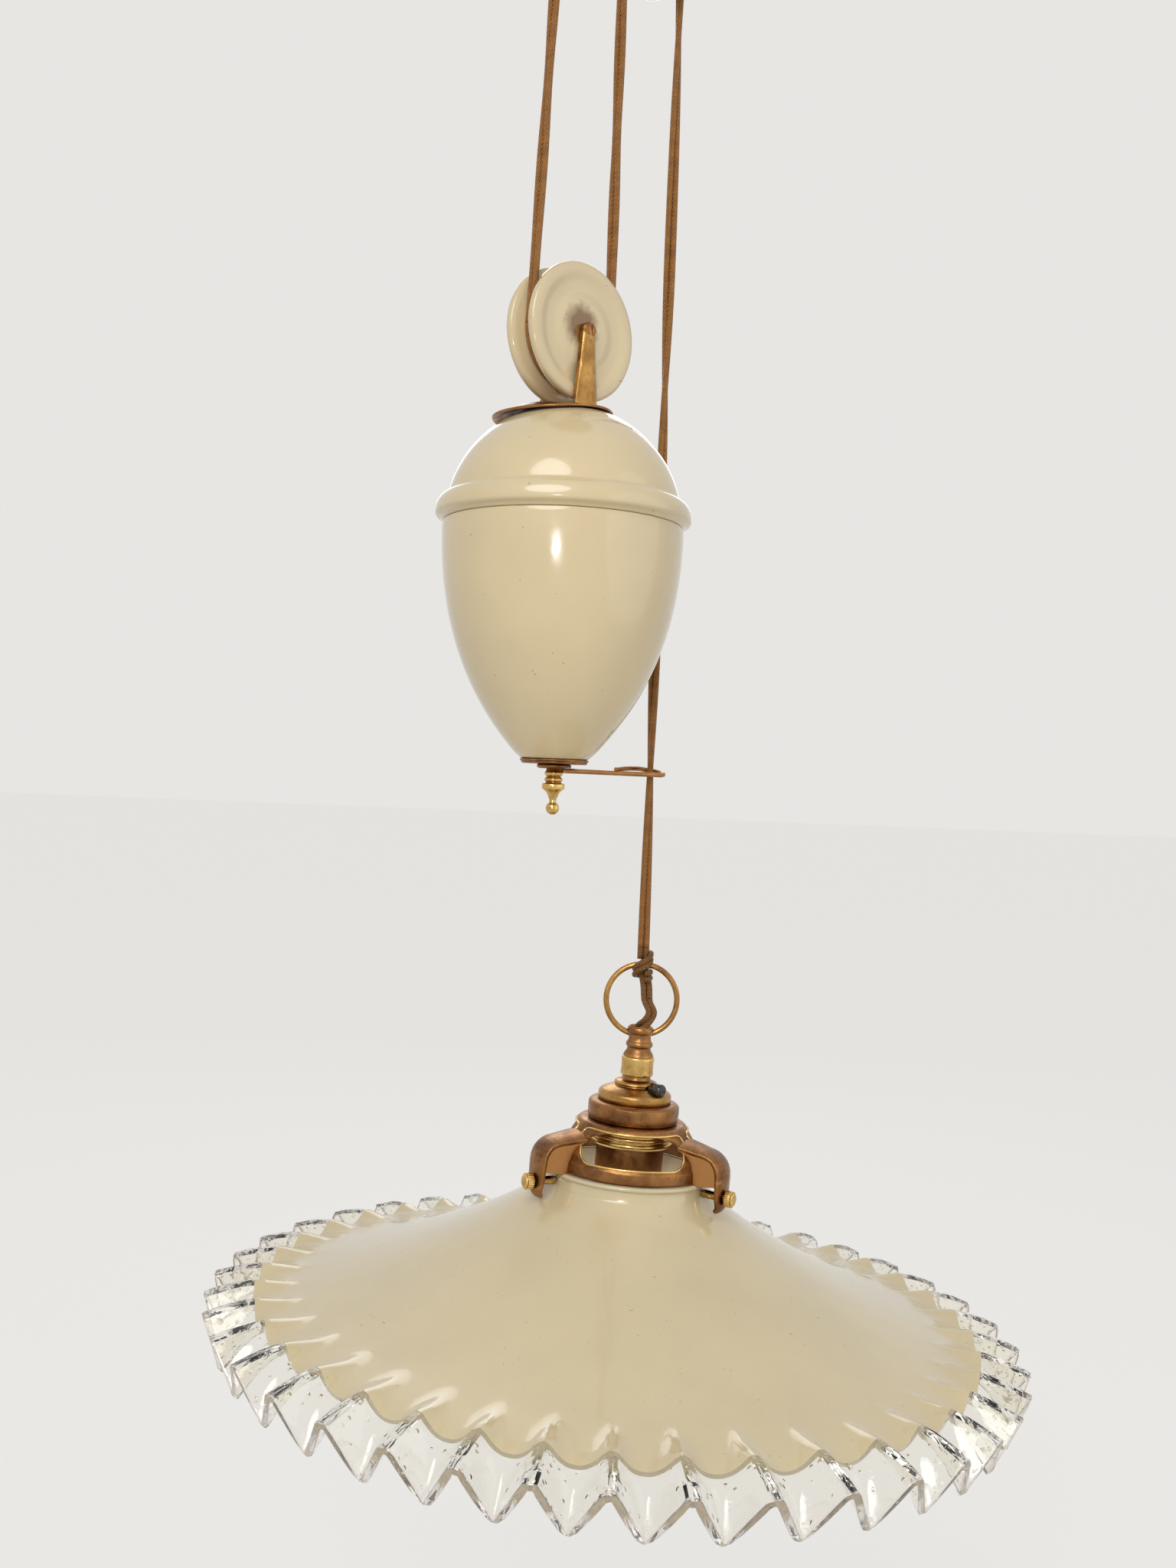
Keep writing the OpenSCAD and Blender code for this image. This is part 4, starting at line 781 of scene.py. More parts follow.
def add_wheel(name, flex_r, flange, at, body, node_name, material):
    rim, groove, h, flat = flex_r + flange, flex_r - CORE_R - 0.3, WHEEL_W / 2, 2.5
    half = [(1.42, h), (rim * 0.20, h), (rim * 0.42, h - 0.05), (rim * 0.48, h - 0.25),
            (rim * 0.54, h - 0.85), (rim * 0.60, h - 1.0), (rim * 0.70, h - 1.0), (rim * 0.76, h - 0.8),
            (rim * 0.82, h - 0.15),
            (rim * 0.86, h), (rim - 1.6, h), (rim - 0.6, h - 0.25), (rim - 0.12, h - 0.8), (rim, h - 1.3),
            (rim - 0.05, flat + 2.1), (rim - 0.45, flat + 1.6), (rim - 2.4, flat + 0.8),
            (groove + 1.0, flat + 0.1), (groove + 0.25, flat - 0.4), (groove, flat - 1.1)]
    outline = half + [(r, -z) for r, z in reversed(half)]
    piece = turned(name, outline, steps=112, smoothing=60)
    place(piece, at @ ALONG_Y)
    dress(piece, material, body, "glazed_porcelain", node_name)


def add_axle(prefix, at, body, node_name, material, nut_material):
    """A headed pin along Y with a slot in its head, and its nut."""
    tip = FORK_OUT + 2.6
    head = FORK_OUT + 1.2
    outline = [(0, -tip), (AXLE_R - 0.3, -tip), (AXLE_R, -tip + 0.4), (AXLE_R, FORK_OUT), (2.6, FORK_OUT),
               (2.6, FORK_OUT + 0.4), (2.3, head - 0.25), (1.6, head), (0, head + 0.05)]
    pin = turned(prefix + "_pin", outline, steps=48, edge=0.08)
    cut(pin, block("slot", (0.7, 8, 1.0), (0, 0, head), 0))
    smooth(pin)
    place(pin, at @ Matrix.Rotation(pi / 2, 4, "X"))
    dress(pin, material, body, "brass", node_name)
    nut = hex_nut("nut", 5.5, AXLE_R + 0.05, 2.0)
    place(nut, at @ Matrix.Translation((0, FORK_OUT * MM, 0)) @ ALONG_Y)
    nut.name = nut.data.name = prefix + "_pin_nut"
    dress(nut, nut_material, body, "brass", node_name + "_nut")


def hex_nut(name, across, bore, height):
    """A hexagon nut with chamfered corners, standing on the origin."""
    corner = across / 2 / cos(pi / 6)
    nut = rod(name, corner, height, (0, 0, height / 2), sides=6, edge=0)
    outline = [(0, -0.02), (across / 2, -0.02), (corner + 0.05, 0.16 * height),
               (corner + 0.05, 0.84 * height), (across / 2, height + 0.02), (0, height + 0.02)]
    chamfer = turned("chamfer", outline, 48)
    apply(nut, "BOOLEAN", object=chamfer, operation="INTERSECT", solver="EXACT")
    bpy.data.objects.remove(chamfer)
    cut(nut, rod("bore", bore, height + 2, (0, 0, height / 2), edge=0))
    smooth(nut, 25)
    return nut


def fork_arm(side, root, root_w, tip_w, thick, crown):
    """One tapering arm of a fork: flat inside, crowned outside, with an eye for the axle."""
    arm = block("arm", (root_w, thick, root), (0, 0, -root / 2), 0)
    edit_mode(True)
    select_mesh()
    bpy.ops.mesh.subdivide(number_cuts=7)
    edit_mode(False)
    for v in arm.data.vertices:
        x, y, z = v.co / MM
        share = -z / root
        width = tip_w + (root_w - tip_w) * share**1.15
        x *= width / root_w
        if y > 0:
            y += crown * max(0, 1 - (2 * x / width) ** 2) ** 0.5 - 0.15
        v.co = Vector((x, y, z)) * MM
    soften(arm, 0.25, 2, 50)
    eye = turned("eye", [(0, -thick / 2), (2.7, -thick / 2), (2.8, thick / 2), (2.4, thick / 2 + crown * 0.6),
                         (0, thick / 2 + crown * 0.75)], 48, 0.15, at=ALONG_Y)
    piece = joined("arm", [arm, eye])
    mirrored = Matrix.Scale(side, 4, Y)
    place(piece, Matrix.Translation((0, side * (FORK_IN + thick / 2) * MM, 0)) @ mirrored)
    edit_mode(True)
    select_mesh()
    bpy.ops.mesh.normals_make_consistent(inside=False)
    edit_mode(False)
    smooth(piece, 40)
    return piece


# ---------------------------------------------------------------- counterweight

CUP_R, CUP_FOOT_R = 42.0, 12.0
DOME_R, DOME_RISE, CROWN_R = 41.0, 40.0, 16.0


def weight_heights():
    """Heights from the counterweight's axle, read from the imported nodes, in millimetres."""
    zero = WEIGHT_AXLE.z
    cup_low, cup_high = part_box("counterweight_body")
    plate_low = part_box("bottom_plate")[0]
    seat = (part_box("counterweight_lid")[1].z - zero) / MM
    crown_drop = DOME_RISE * (1 - sqrt(1 - (CROWN_R / DOME_R) ** 2))
    return {"seat": seat, "dome": seat + crown_drop - DOME_RISE, "cup_top": (cup_high.z - zero) / MM,
            "cup_foot": (cup_low.z - zero) / MM, "plate": (plate_low.z - zero) / MM}


def add_counterweight(porcelain, brass, bright_brass, brown_brass, iron):
    h = weight_heights()
    top, foot, dome, seat = h["cup_top"], h["cup_foot"], h["dome"], h["seat"]

    side = [(CUP_R, top - 2), (CUP_R, top - 38), (CUP_R - 12.5, foot + 18), (CUP_FOOT_R, foot)]
    outer = curve(side, 44)
    inner = [p for p in curve(side, 30, 4.5) if p[1] > foot + 5]
    outline = [(2.1, foot), (CUP_FOOT_R - 1.3, foot), (CUP_FOOT_R - 0.4, foot + 0.12),
               (CUP_FOOT_R + 0.2, foot + 0.5)]
    outline += list(reversed(outer))[2:]
    outline += [(CUP_R - 0.02, top - 0.7), (CUP_R - 0.2, top - 0.15), (CUP_R - 0.6, top), (36.5, top)]
    outline += inner + [(inner[-1][0] - 2, foot + 5), (2.1, foot + 5)]
    cup = turned("porcelain_cup", outline, steps=144, smoothing=50, at=AT_WEIGHT)
    dress(cup, porcelain, "counterweight", "glazed_porcelain", "counterweight_body")

    bead = dome + DOME_RISE * sqrt(1 - (40.1 / DOME_R) ** 2) - 7
    edge_a, foot_a = degrees(acos(CROWN_R / DOME_R)), degrees(acos(39.7 / DOME_R))
    outline = [(2.1, seat), (CROWN_R - 1.5, seat), (CROWN_R - 0.2, seat - 0.12)]
    outline += arc((0, dome), DOME_R, DOME_RISE, edge_a - 1.5, foot_a, 30)
    outline += [(40.0, bead + 7.2), (40.25, bead + 6.5)]
    outline += arc((40.2, bead), 4.4, 6.3, 78, 0, 14)
    outline += arc((43.1, bead - 0.1), 1.5, 1.5, -8, -58, 5)
    outline += [(43.3, bead - 1.6), (42.75, bead - 1.85), (42.35, bead - 2.2), (42.1, bead - 2.6),
                (41.95, top + 0.25), (41.6, top + 0.05), (35.5, top + 0.05),
                (35.5, top - 6), (32, top - 6), (32, dome)]
    outline += arc((0, dome), 32, 32.6, 6, 84, 12) + [(2.1, dome + 32.6)]
    lid = turned("porcelain_lid", outline, steps=144, smoothing=50, at=AT_WEIGHT)
    dress(lid, porcelain, "counterweight", "glazed_porcelain", "counterweight_lid")

    add_top_cap(dome, seat, brown_brass)
    add_weight_fork(brass)
    add_weight_foot(h, bright_brass, brown_brass)
    for name, finish in (("ballast", iron), ("tie_rod", bright_brass)):
        keep(name, finish)


def keep(name, material):
    """A CAD node whose shape is right stays, with a better finish."""
    mesh = frame["nodes"][name].data
    mesh.materials.clear()
    mesh.materials.append(material)


def add_top_cap(dome, seat, material):
    """A thin dished cap that sits askew on the dome and stands off it a little at the back."""
    deselect()
    bpy.ops.mesh.primitive_circle_add(radius=21 * MM, vertices=96, fill_type="TRIFAN")
    cap = active()
    cap.name = cap.data.name = "dished_cap"
    edit_mode(True)
    select_mesh()
    for _ in range(5):
        bpy.ops.mesh.inset(thickness=3.2 * MM)
    edit_mode(False)
    shift = -5 * SIDE
    for v in cap.data.vertices:
        reach = v.co.length / MM
        x, y = v.co.x / MM + shift.x, v.co.y / MM + shift.y
        r = sqrt(x * x + y * y)
        z = dome + (DOME_RISE + 0.35) * sqrt(max(0, 1 - (r / (DOME_R + 0.35)) ** 2))
        curl = 0.4 * max(0, (reach - 18.2) / 2.8) ** 2
        lean = 2.8 * max(0, -(x * SIDE.x + y * SIDE.y) / 26) ** 1.7
        v.co = Vector((x, y, min(z, seat + 0.3) + curl + lean)) * MM
    apply(cap, "SOLIDIFY", thickness=0.9 * MM, offset=1)
    soften(cap, 0.25, 2, 50)
    smooth(cap, 40)
    place(cap, AT_WEIGHT)
    dress(cap, material, "counterweight", "dark_brass", "top_cap")


def add_weight_fork(material):
    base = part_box("counterweight_fork")[0].z - WEIGHT_AXLE.z
    root = -base / MM - 1.0
    arms = [fork_arm(side, root, 10.4, 5.2, 1.8, 1.2) for side in (-1, 1)]
    foot = block("foot", (10, 2 * FORK_OUT + 1.2, 2), (0, 0, base / MM + 1), 0.5)
    fork = joined("weight_fork", [foot, *arms])
    smooth(fork, 40)
    place(fork, AT_WEIGHT)
    dress(fork, material, "counterweight", "brass", "counterweight_fork")


def add_weight_foot(h, bright_brass, brown_brass):
    foot, plate = h["cup_foot"], h["plate"]
    hub = plate - 1.6
    r = CUP_FOOT_R
    outline = [(2.1, foot - 0.02), (r - 0.1, foot - 0.02), (r + 0.05, foot - 0.35), (r - 0.15, foot - 0.7),
               (r - 0.5, foot - 0.85), (r - 0.45, foot - 1.2), (r - 0.8, plate + 0.02), (2.1, plate + 0.02)]
    disc = turned("foot_disc", outline, 96, 0.1, at=AT_WEIGHT)
    dress(disc, brown_brass, "counterweight", "dark_brass", "bottom_plate")

    hub_disc = turned("hub", [(2.1, hub), (5.4, hub), (6.0, hub + 0.5), (6.0, hub + 1.2), (5.6, hub + 1.6),
                              (2.1, hub + 1.6)], 64, 0.1)
    reach = (RING.x - WEIGHT_AXLE.x) / MM
    mid, eye_r = hub - 0.6, 4.8
    line = [(3.8, 0, mid), (14, 0, mid), (reach - 24, 0, mid), (reach - 16, -0.2, mid),
            (reach - 10, -1.5, mid), (reach - 5.5, -3.4, mid)]
    line += [(reach + eye_r * sin(radians(a)), -eye_r * cos(radians(a)), mid + rise)
             for a, rise in ((-20, 0.0), (10, 0.0), (45, 0.3), (90, 0.9), (135, 1.6), (175, 2.0), (215, 2.1))]
    line += [(reach - 8.5, 2.6, mid + 2.0), (reach - 13, 1.6, mid + 1.7), (reach - 17.5, 0.5, mid + 1.3)]
    wire = wire_along("wire", [Vector(p) * MM for p in line], 0.9)
    arm = joined("eye_arm", [hub_disc, wire])
    smooth(arm, 40)
    place(arm, AT_WEIGHT)
    dress(arm, brown_brass, "counterweight", "dark_brass", "guide_arm")

    low = (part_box("finial")[0].z - WEIGHT_AXLE.z) / MM
    outline = [(0, low)] + arc((0, low + 2.3), 2.35, 2.3, -84, 52, 14)
    outline += [(1.15, low + 4.5), (1.25, low + 5.3), (1.75, low + 6.6), (2.2, low + 7.6), (3.0, low + 8.4),
                (3.7, low + 8.9), (4.0, low + 9.4), (4.0, low + 10.5), (3.7, low + 11.0), (2.7, low + 11.2)]
    outline += arc((2.35, low + 12.3), 0.85, 0.85, -60, 60, 6) + [(2.45, low + 13.3)]
    outline += arc((2.3, low + 14.4), 0.95, 0.9, -55, 60, 6) + [(2.6, hub), (0, hub)]
    finial = turned("end_finial", outline, 64, at=AT_WEIGHT, smoothing=55)
    dress(finial, bright_brass, "counterweight", "brass", "finial")


def wire_along(name, points, radius, steps=8, loop=False):
    """A round wire along a smooth line through points, as a closed mesh."""
    data = bpy.data.curves.new(name, "CURVE")
    data.dimensions = "3D"
    data.bevel_depth = radius * MM
    data.bevel_resolution = 3
    data.use_fill_caps = not loop
    line = smooth_line(points, steps)
    spline = data.splines.new("POLY")
    spline.points.add(len(line) - 1)
    for spot, point in zip(spline.points, line):
        spot.co = (*point, 1)
    spline.use_cyclic_u = loop
    piece = bpy.data.objects.new(name, data)
    bpy.context.scene.collection.objects.link(piece)
    pick(piece)
    bpy.ops.object.convert(target="MESH")
    edit_mode(True)
    tidy_mesh()
    edit_mode(False)
    return active()


# ---------------------------------------------------------------- lampholder and gallery

def add_ring(material):
    """The ring that carries the lamp."""
    deselect()
    radius = (RING_TOP - RING).length
    bpy.ops.mesh.primitive_torus_add(major_radius=radius, minor_radius=1.05 * MM, major_segments=128,
                                     minor_segments=20)
    ring = active()
    ring.name = ring.data.name = "lamp_ring_wire"
    smooth(ring, 60)
    place(ring, basis(RING, SIDE, -UP, AWAY))
    dress(ring, material, "lamp_ring", "brass", "suspension_ring")


def add_boss(material):
    way = 3.75
    outline = [(way, 2.9), (way + 0.3, 3.3), (4.1, 3.3)]
    outline += arc((3.75, 1.75), 1.2, 1.55, 72, -62, 10) + [(4.25, 0.15), (4.15, -0.9), (4.2, -1.9)]
    outline += arc((4.0, -3.4), 1.0, 1.2, 55, -62, 8)
    outline += [(4.35, -4.75), (4.5, -5.6), (5.2, -6.6), (5.6, -7.4), (5.6, -7.9), (4.75, -7.9),
                (4.75, -10.9), (way, -10.9)]
    boss = turned("turned_boss", outline, 80, smoothing=50)
    cut(boss, rod("cross", 1.75, 14, (0, 0, 0.6), (0, pi / 2, 0), edge=0))
    smooth(boss, 50)
    place(boss, AT_LAMP)
    dress(boss, material, "lamp", "brass", "ring_boss")


def add_collar(material):
    r, top, foot = 6.1, -7.9, -14.9
    outline = [(4.8, top), (r - 0.6, top), (r - 0.15, top - 0.2), (r, top - 0.6), (r - 0.12, top - 1.6),
               (r - 0.2, top - 3.5), (r - 0.12, foot + 1.6), (r, foot + 0.7), (r - 0.1, foot + 0.25),
               (r - 0.5, foot), (4.8, foot)]
    collar = turned("turned_collar", outline, 80, smoothing=50, at=AT_LAMP)
    dress(collar, material, "lamp", "brass", "holder_collar")


def add_cap(material):
    way, top, flare, foot = 3.75, -16.5, -21.2, -24.2
    outline = [(way, -11.3), (4.75, -11.3), (4.75, -14.9), (5.3, -14.9), (5.25, top + 0.5), (5.6, top + 0.1),
               (6.4, top - 0.15), (7.3, top - 0.45), (7.9, top - 0.9), (8.0, top - 1.3), (7.7, top - 1.75),
               (7.8, top - 2.1), (8.6, top - 2.3), (9.9, top - 2.7), (11.2, top - 3.3), (12.3, flare + 0.9),
               (13.1, flare + 0.35), (13.4, flare - 0.1), (13.5, flare - 0.6), (13.5, foot + 0.35),
               (13.2, foot), (12.55, foot), (12.55, flare - 0.2), (10.5, flare - 0.2), (10.5, flare + 0.7),
               (way, flare + 0.7)]
    cap = turned("flared_cap", outline, 96, smoothing=45, at=AT_LAMP)
    dress(cap, material, "lamp", "brass", "holder_cap")


def add_cord_screw(material):
    """A black knob at the front right of the cap, with a screwdriver slot and a rounded end."""
    reach, length, r = 8.65, 5.2, 2.45
    outline = [(0, 4.1), (1.25, 4.1), (1.25, reach - 0.3), (r - 0.3, reach - 0.3), (r, reach),
               (r, reach + 3.6)]
    outline += arc((r - 1.4, reach + 3.8), 1.4, 1.4, 0, 90, 8) + [(0, reach + length)]
    knob = turned("cord_knob", outline, 48, smoothing=50)
    cut(knob, block("slot", (0.8, 8, 1.6), (0, 0, reach + length), 0))
    smooth(knob, 50)
    out = Matrix.Rotation(radians(-45), 4, "Z") @ Matrix.Rotation(pi / 2, 4, "Y")
    place(knob, AT_LAMP @ Matrix.Translation((0, 0, -18.4 * MM)) @ out)
    dress(knob, material, "lamp", "ebonite", "cord_screw")


def add_shade_rings(brown_brass, bright_brass):
    thread, r, top, foot = 12.55, 16.8, -24.2, -31.3
    outline = [(thread, top), (r - 2.2, top), (r - 0.8, top - 0.35), (r, top - 1.1), (r + 0.05, top - 3.0),
               (r - 0.05, foot + 1.4), (r - 0.3, foot + 0.9), (r - 0.3, foot + 0.5), (r - 0.7, foot),
               (thread, foot)]
    upper = turned("upper_ring", outline, 96, 0.12, smoothing=45, at=AT_LAMP)
    dress(upper, brown_brass, "lamp", "dark_brass", "upper_shade_ring")

    r, top, foot = 15.3, -32.4, -39.9
    outline = [(thread, top), (r - 1.2, top), (r - 0.4, top - 0.4)]
    for k in range(3):
        outline += arc((r - 0.7, top - 1.7 - 2.25 * k), 0.75, 1.0, 68, -68, 8)
    outline += [(r - 0.5, foot + 0.2), (r - 0.9, foot), (thread, foot)]
    lower = turned("lower_ring", outline, 96, smoothing=40, at=AT_LAMP)
    dress(lower, bright_brass, "lamp", "brass", "lower_shade_ring")


GALLERY_TOP, GALLERY_FOOT, GALLERY_R = -31.3, -48.7, 30.0
SHOULDER = GALLERY_FOOT + 4.6
NECK = SHOULDER + 4.2
CLAW_TURNS = (-30, 90, 210)
WINDOW_TURNS = (-90, 30, 150)
WINDOW = (37.0, 10.5, 3.5)          # width, height, corner
WINDOW_LOW = SHOULDER + 0.6
CLAW_R = 39.0
CHEEK_T = 1.2
SCREW_Z = -52.3
MILLED_EDGES = 56


def window_cutter(turn):
    """A rounded oblong that points outwards from the axis, in the place of one window."""
    width, height, corner = WINDOW
    tool = block("window", (20, width, height), (26.5, 0, WINDOW_LOW + height / 2), 0)
    edit_mode(True)
    select_mesh(False)
    edit_mode(False)
    for edge in tool.data.edges:
        a, b = (tool.data.vertices[i].co for i in edge.vertices)
        edge.select = abs(a.x - b.x) > 10 * MM
    edit_mode(True)
    bpy.ops.mesh.select_mode(type="EDGE")
    bpy.ops.mesh.bevel(offset=corner * MM, segments=8, affect="EDGES")
    edit_mode(False)
    return place(tool, Matrix.Rotation(radians(turn), 4, "Z"))


def claw(turn):
    """A claw that springs from the cone: out and over in a bend, down, and curled in under the lip."""
    foot = GALLERY_FOOT
    side = [(22.9, foot + 13.7), (30.9, foot + 11.9), (CLAW_R, foot + 11.3), (CLAW_R, foot + 3)]
    path = [(*bezier(side, k / 11), 15.5 - 4.5 * min(1, k / 7)) for k in range(12)]
    path += [(CLAW_R, foot, 10.6), (CLAW_R, foot - 3, 10.2)]
    path += [(CLAW_R - 4 + 4 * cos(radians(a)), foot - 5.8 - 4 * sin(radians(a)), 10 - 0.03 * a)
             for a in (0, 25, 50)]
    piece = drawn("claw", [(r, -w / 2, z) for r, z, w in path])
    select_mesh()
    bpy.ops.mesh.extrude_edges_move(TRANSFORM_OT_translate={"value": (0, 10 * MM, 0)})
    edit_mode(False)
    for v in piece.data.vertices:
        r, z, w = min(path, key=lambda p: (p[0] - v.co.x / MM) ** 2 + (p[1] - v.co.z / MM) ** 2)
        v.co.y = (w / 2 if v.co.y > (5 - w / 2) * MM else -w / 2) * MM
    edit_mode(True)
    select_mesh()
    bpy.ops.mesh.subdivide(number_cuts=3, quadcorner="INNERVERT")
    bpy.ops.mesh.normals_make_consistent(inside=False)
    edit_mode(False)
    for v in piece.data.vertices:
        r, y, z = drooped(*(v.co / MM))
        low = min(1, max(0, (foot - 4.0 - z) / 4.5))
        v.co = Vector((r, y * (1 - 0.4 * low * (abs(y) / 5) ** 2), z)) * MM
    apply(piece, "SOLIDIFY", thickness=1.5 * MM, offset=0)
    soften(piece, 0.5, 3, 50)
    piece = joined("claw", [piece, cheek(path[:12], -1), cheek(path[:12], 1)])
    smooth(piece, 45)
    return place(piece, Matrix.Rotation(radians(turn), 4, "Z"))


def drooped(r, y, z):
    """A point of a claw, let down towards the claw's edges so that its back is crowned."""
    droop = 1.1 * (y / 6) ** 2
    steep = min(1, max(0, (r - 30) / 8))
    return r - droop * steep, y, z - droop * (1 - steep)


def cheek(path, side):
    """The sheet that closes one side of a claw, from its bend to the cone and the base."""
    foot = GALLERY_FOOT
    outline = path + [(CLAW_R, foot + 0.5, 10.6), (GALLERY_R - 0.6, foot + 0.5, 12),
                      (GALLERY_R - 1, foot + 4.6, 13), (GALLERY_R - 2.1, foot + 9.4, 14)]
    points = [drooped(r, side * (w / 2 - 0.35), z) for r, z, w in outline]
    return plate("cheek", points + points[:1], -side * CHEEK_T)


def add_gallery(material):
    t, r, top, foot = 1.1, GALLERY_R, GALLERY_TOP, GALLERY_FOOT
    shoulder, neck = SHOULDER, NECK
    outline = [(12.6, top), (18.6, top), (19.4, top - 0.15), (20.0, top - 0.7)]
    outline += [(20.0 + 8.1 * k / 8, top - 0.7 - (top - 0.7 - neck) * (k / 8) ** 0.92) for k in range(1, 9)]
    outline += [(r - 1.1, neck - 0.9), (r - 0.75, neck - 2.0), (r - 0.6, shoulder + 0.6),
                (r - 0.45, shoulder + 0.1), (r - 0.1, shoulder - 0.3), (r, shoulder - 0.9),
                (r, foot + 0.9), (r - 0.15, foot + 0.35),
                (r - 0.6, foot), (r - t - 0.4, foot), (r - t - 0.3, shoulder), (r - t - 0.7, neck - 0.9),
                (r - t - 1.7, neck), (19.2, top - t - 0.6), (18.4, top - t), (12.6, top - t)]
    shell = turned("shell", outline, 144, smoothing=40)
    for turn in WINDOW_TURNS:
        cut(shell, window_cutter(turn))
    soften(shell, 0.22, 2, 55)
    body = joined("glass_gallery", [shell] + [claw(turn) for turn in CLAW_TURNS])
    smooth(body, 40)
    place(body, AT_LAMP)
    dress(body, material, "lamp", "dark_brass", "gallery")


def window_trim(turn):
    """The polished lip round one window, along the outline that the window cuts in the cone."""
    width, height, corner = WINDOW
    spots = []
    corners = ((1, 1, 0), (-1, 1, 90), (-1, -1, 180), (1, -1, 270))
    for sx, sz, start in corners:
        for k in range(7):
            a = radians(start + 15 * k)
            y = sx * (width / 2 - corner) + corner * cos(a)
            z = WINDOW_LOW + height / 2 + sz * (height / 2 - corner) + corner * sin(a)
            spots.append((y, z))
    dense = []
    for i, (y0, z0) in enumerate(spots):
        y1, z1 = spots[(i + 1) % len(spots)]
        parts = max(1, int(sqrt((y1 - y0) ** 2 + (z1 - z0) ** 2) / 2))
        dense += [(y0 + (y1 - y0) * k / parts, z0 + (z1 - z0) * k / parts) for k in range(parts)]
    points = []
    for y, z in dense:
        reach = wall_radius(z) - 0.05
        points.append(Vector((sqrt(max(0, reach * reach - y * y)), y, z)) * MM)
    lip = wire_along("lip", points, 0.42, 1, True)
    smooth(lip, 60)
    return place(lip, AT_LAMP @ Matrix.Rotation(radians(turn), 4, "Z"))


def wall_radius(z):
    """Outer radius of the gallery's cone at a height along the lamp's axis."""
    top = GALLERY_TOP - 0.7
    if z < NECK:
        return GALLERY_R - 1.9 + (NECK - z) / 4.2 * 1.3
    return 20.0 + 8.1 * ((top - z) / (top - NECK)) ** (1 / 0.92)


def add_window_trim(material):
    trim = joined("window_lips", [window_trim(turn) for turn in WINDOW_TURNS])
    dress(trim, material, "lamp", "brass")


def add_gallery_screws(material):
    """Three screws with milled heads that hold the shade by its lip."""
    for number, turn in enumerate(CLAW_TURNS, 1):
        deselect()
        bpy.ops.mesh.primitive_cylinder_add(radius=3.0 * MM, depth=2.4 * MM, vertices=MILLED_EDGES,
                                            location=(0, 0, (40.05 + 1.6) * MM))
        head = active()
        bpy.ops.object.transform_apply(location=True, rotation=True, scale=True)
        for v in head.data.vertices:
            if round(atan2(v.co.y, v.co.x) / tau * MILLED_EDGES) % 2:
                v.co.x *= 0.93
                v.co.y *= 0.93
        soften(head, 0.1, 1, 50)
        end = turned("end", [(0, 42.8), (2.3, 42.8), (2.5, 43.0), (2.2, 43.35), (1.2, 43.5), (0, 43.5)], 48)
        shank = turned("shank", [(0, 30.6), (1.1, 30.6), (1.5, 31.2), (1.5, 40.0), (2.3, 40.1), (2.3, 40.5),
                                 (0, 40.5)], 48, 0.05)
        screw = joined("screw", [head, end, shank])
        smooth(screw, 35)
        out = Matrix.Rotation(radians(turn), 4, "Z") @ Matrix.Rotation(pi / 2, 4, "Y")
        place(screw, AT_LAMP @ Matrix.Translation((0, 0, SCREW_Z * MM)) @ out)
        screw.name = screw.data.name = f"claw_screw_{number}"
        dress(screw, material, f"screw_{number}", "brass", f"gallery_screw_{number}")


# ---------------------------------------------------------------- shade

PLEATS = 40
PLEAT_STEPS = 16
PLEAT_TURN = radians(3.5)
OPAL_EDGE_R, OPAL_H, RIM_R, RIM_FALL, PLEAT_H = 125.0, 50.6, 145.5, 10.0, 16.9
GLASS_T, RIM_T = 3.0, 2.6
GLASS_TOP = -48.9
OPAL_END = 0.27           # how far the opal reaches into the crimped part
PLEATS_FROM = 114.0
PLEAT_LEAN = radians(23)  # how far the pleats lean out of plumb
FIRE_POLISH = 1.1         # how far the free edge is rounded
SEAM_LOBE = 1.6           # how far the opal's lobes hang below their notches


def fold(turn, sharp, flat):
    """Height of the hand made pleats at an angle: 1 at a tip, -1 at a notch, which is flat at its bottom."""
    turn = turn - PLEAT_TURN + radians(0.7) * cos(5 * turn + 1.0)
    share = (degrees(turn) / 360 * PLEATS + 0.5) % 1
    off = abs(share - 0.5) * 2
    off = sqrt(off * off + 0.006)
    return 1 - 2 * min(1, (off / flat) ** sharp)


def sheet_profile():
    """The middle of the glass from its neck to its free edge, as (radius, height)."""
    side = [(30.5, GLASS_TOP - 5), (36, GLASS_TOP - 14.5), (OPAL_EDGE_R - 44, GLASS_TOP - OPAL_H + 10.6),
            (OPAL_EDGE_R, GLASS_TOP - OPAL_H)]
    return curve(side, 40, GLASS_T / 2)[:-1] + rim_line(0.05, 1, 24)


def profile_height(profile, r):
    for (r0, z0), (r1, z1) in zip(profile, profile[1:]):
        if r <= r1:
            return z0 + (z1 - z0) * (r - r0) / (r1 - r0)
    return profile[-1][1]


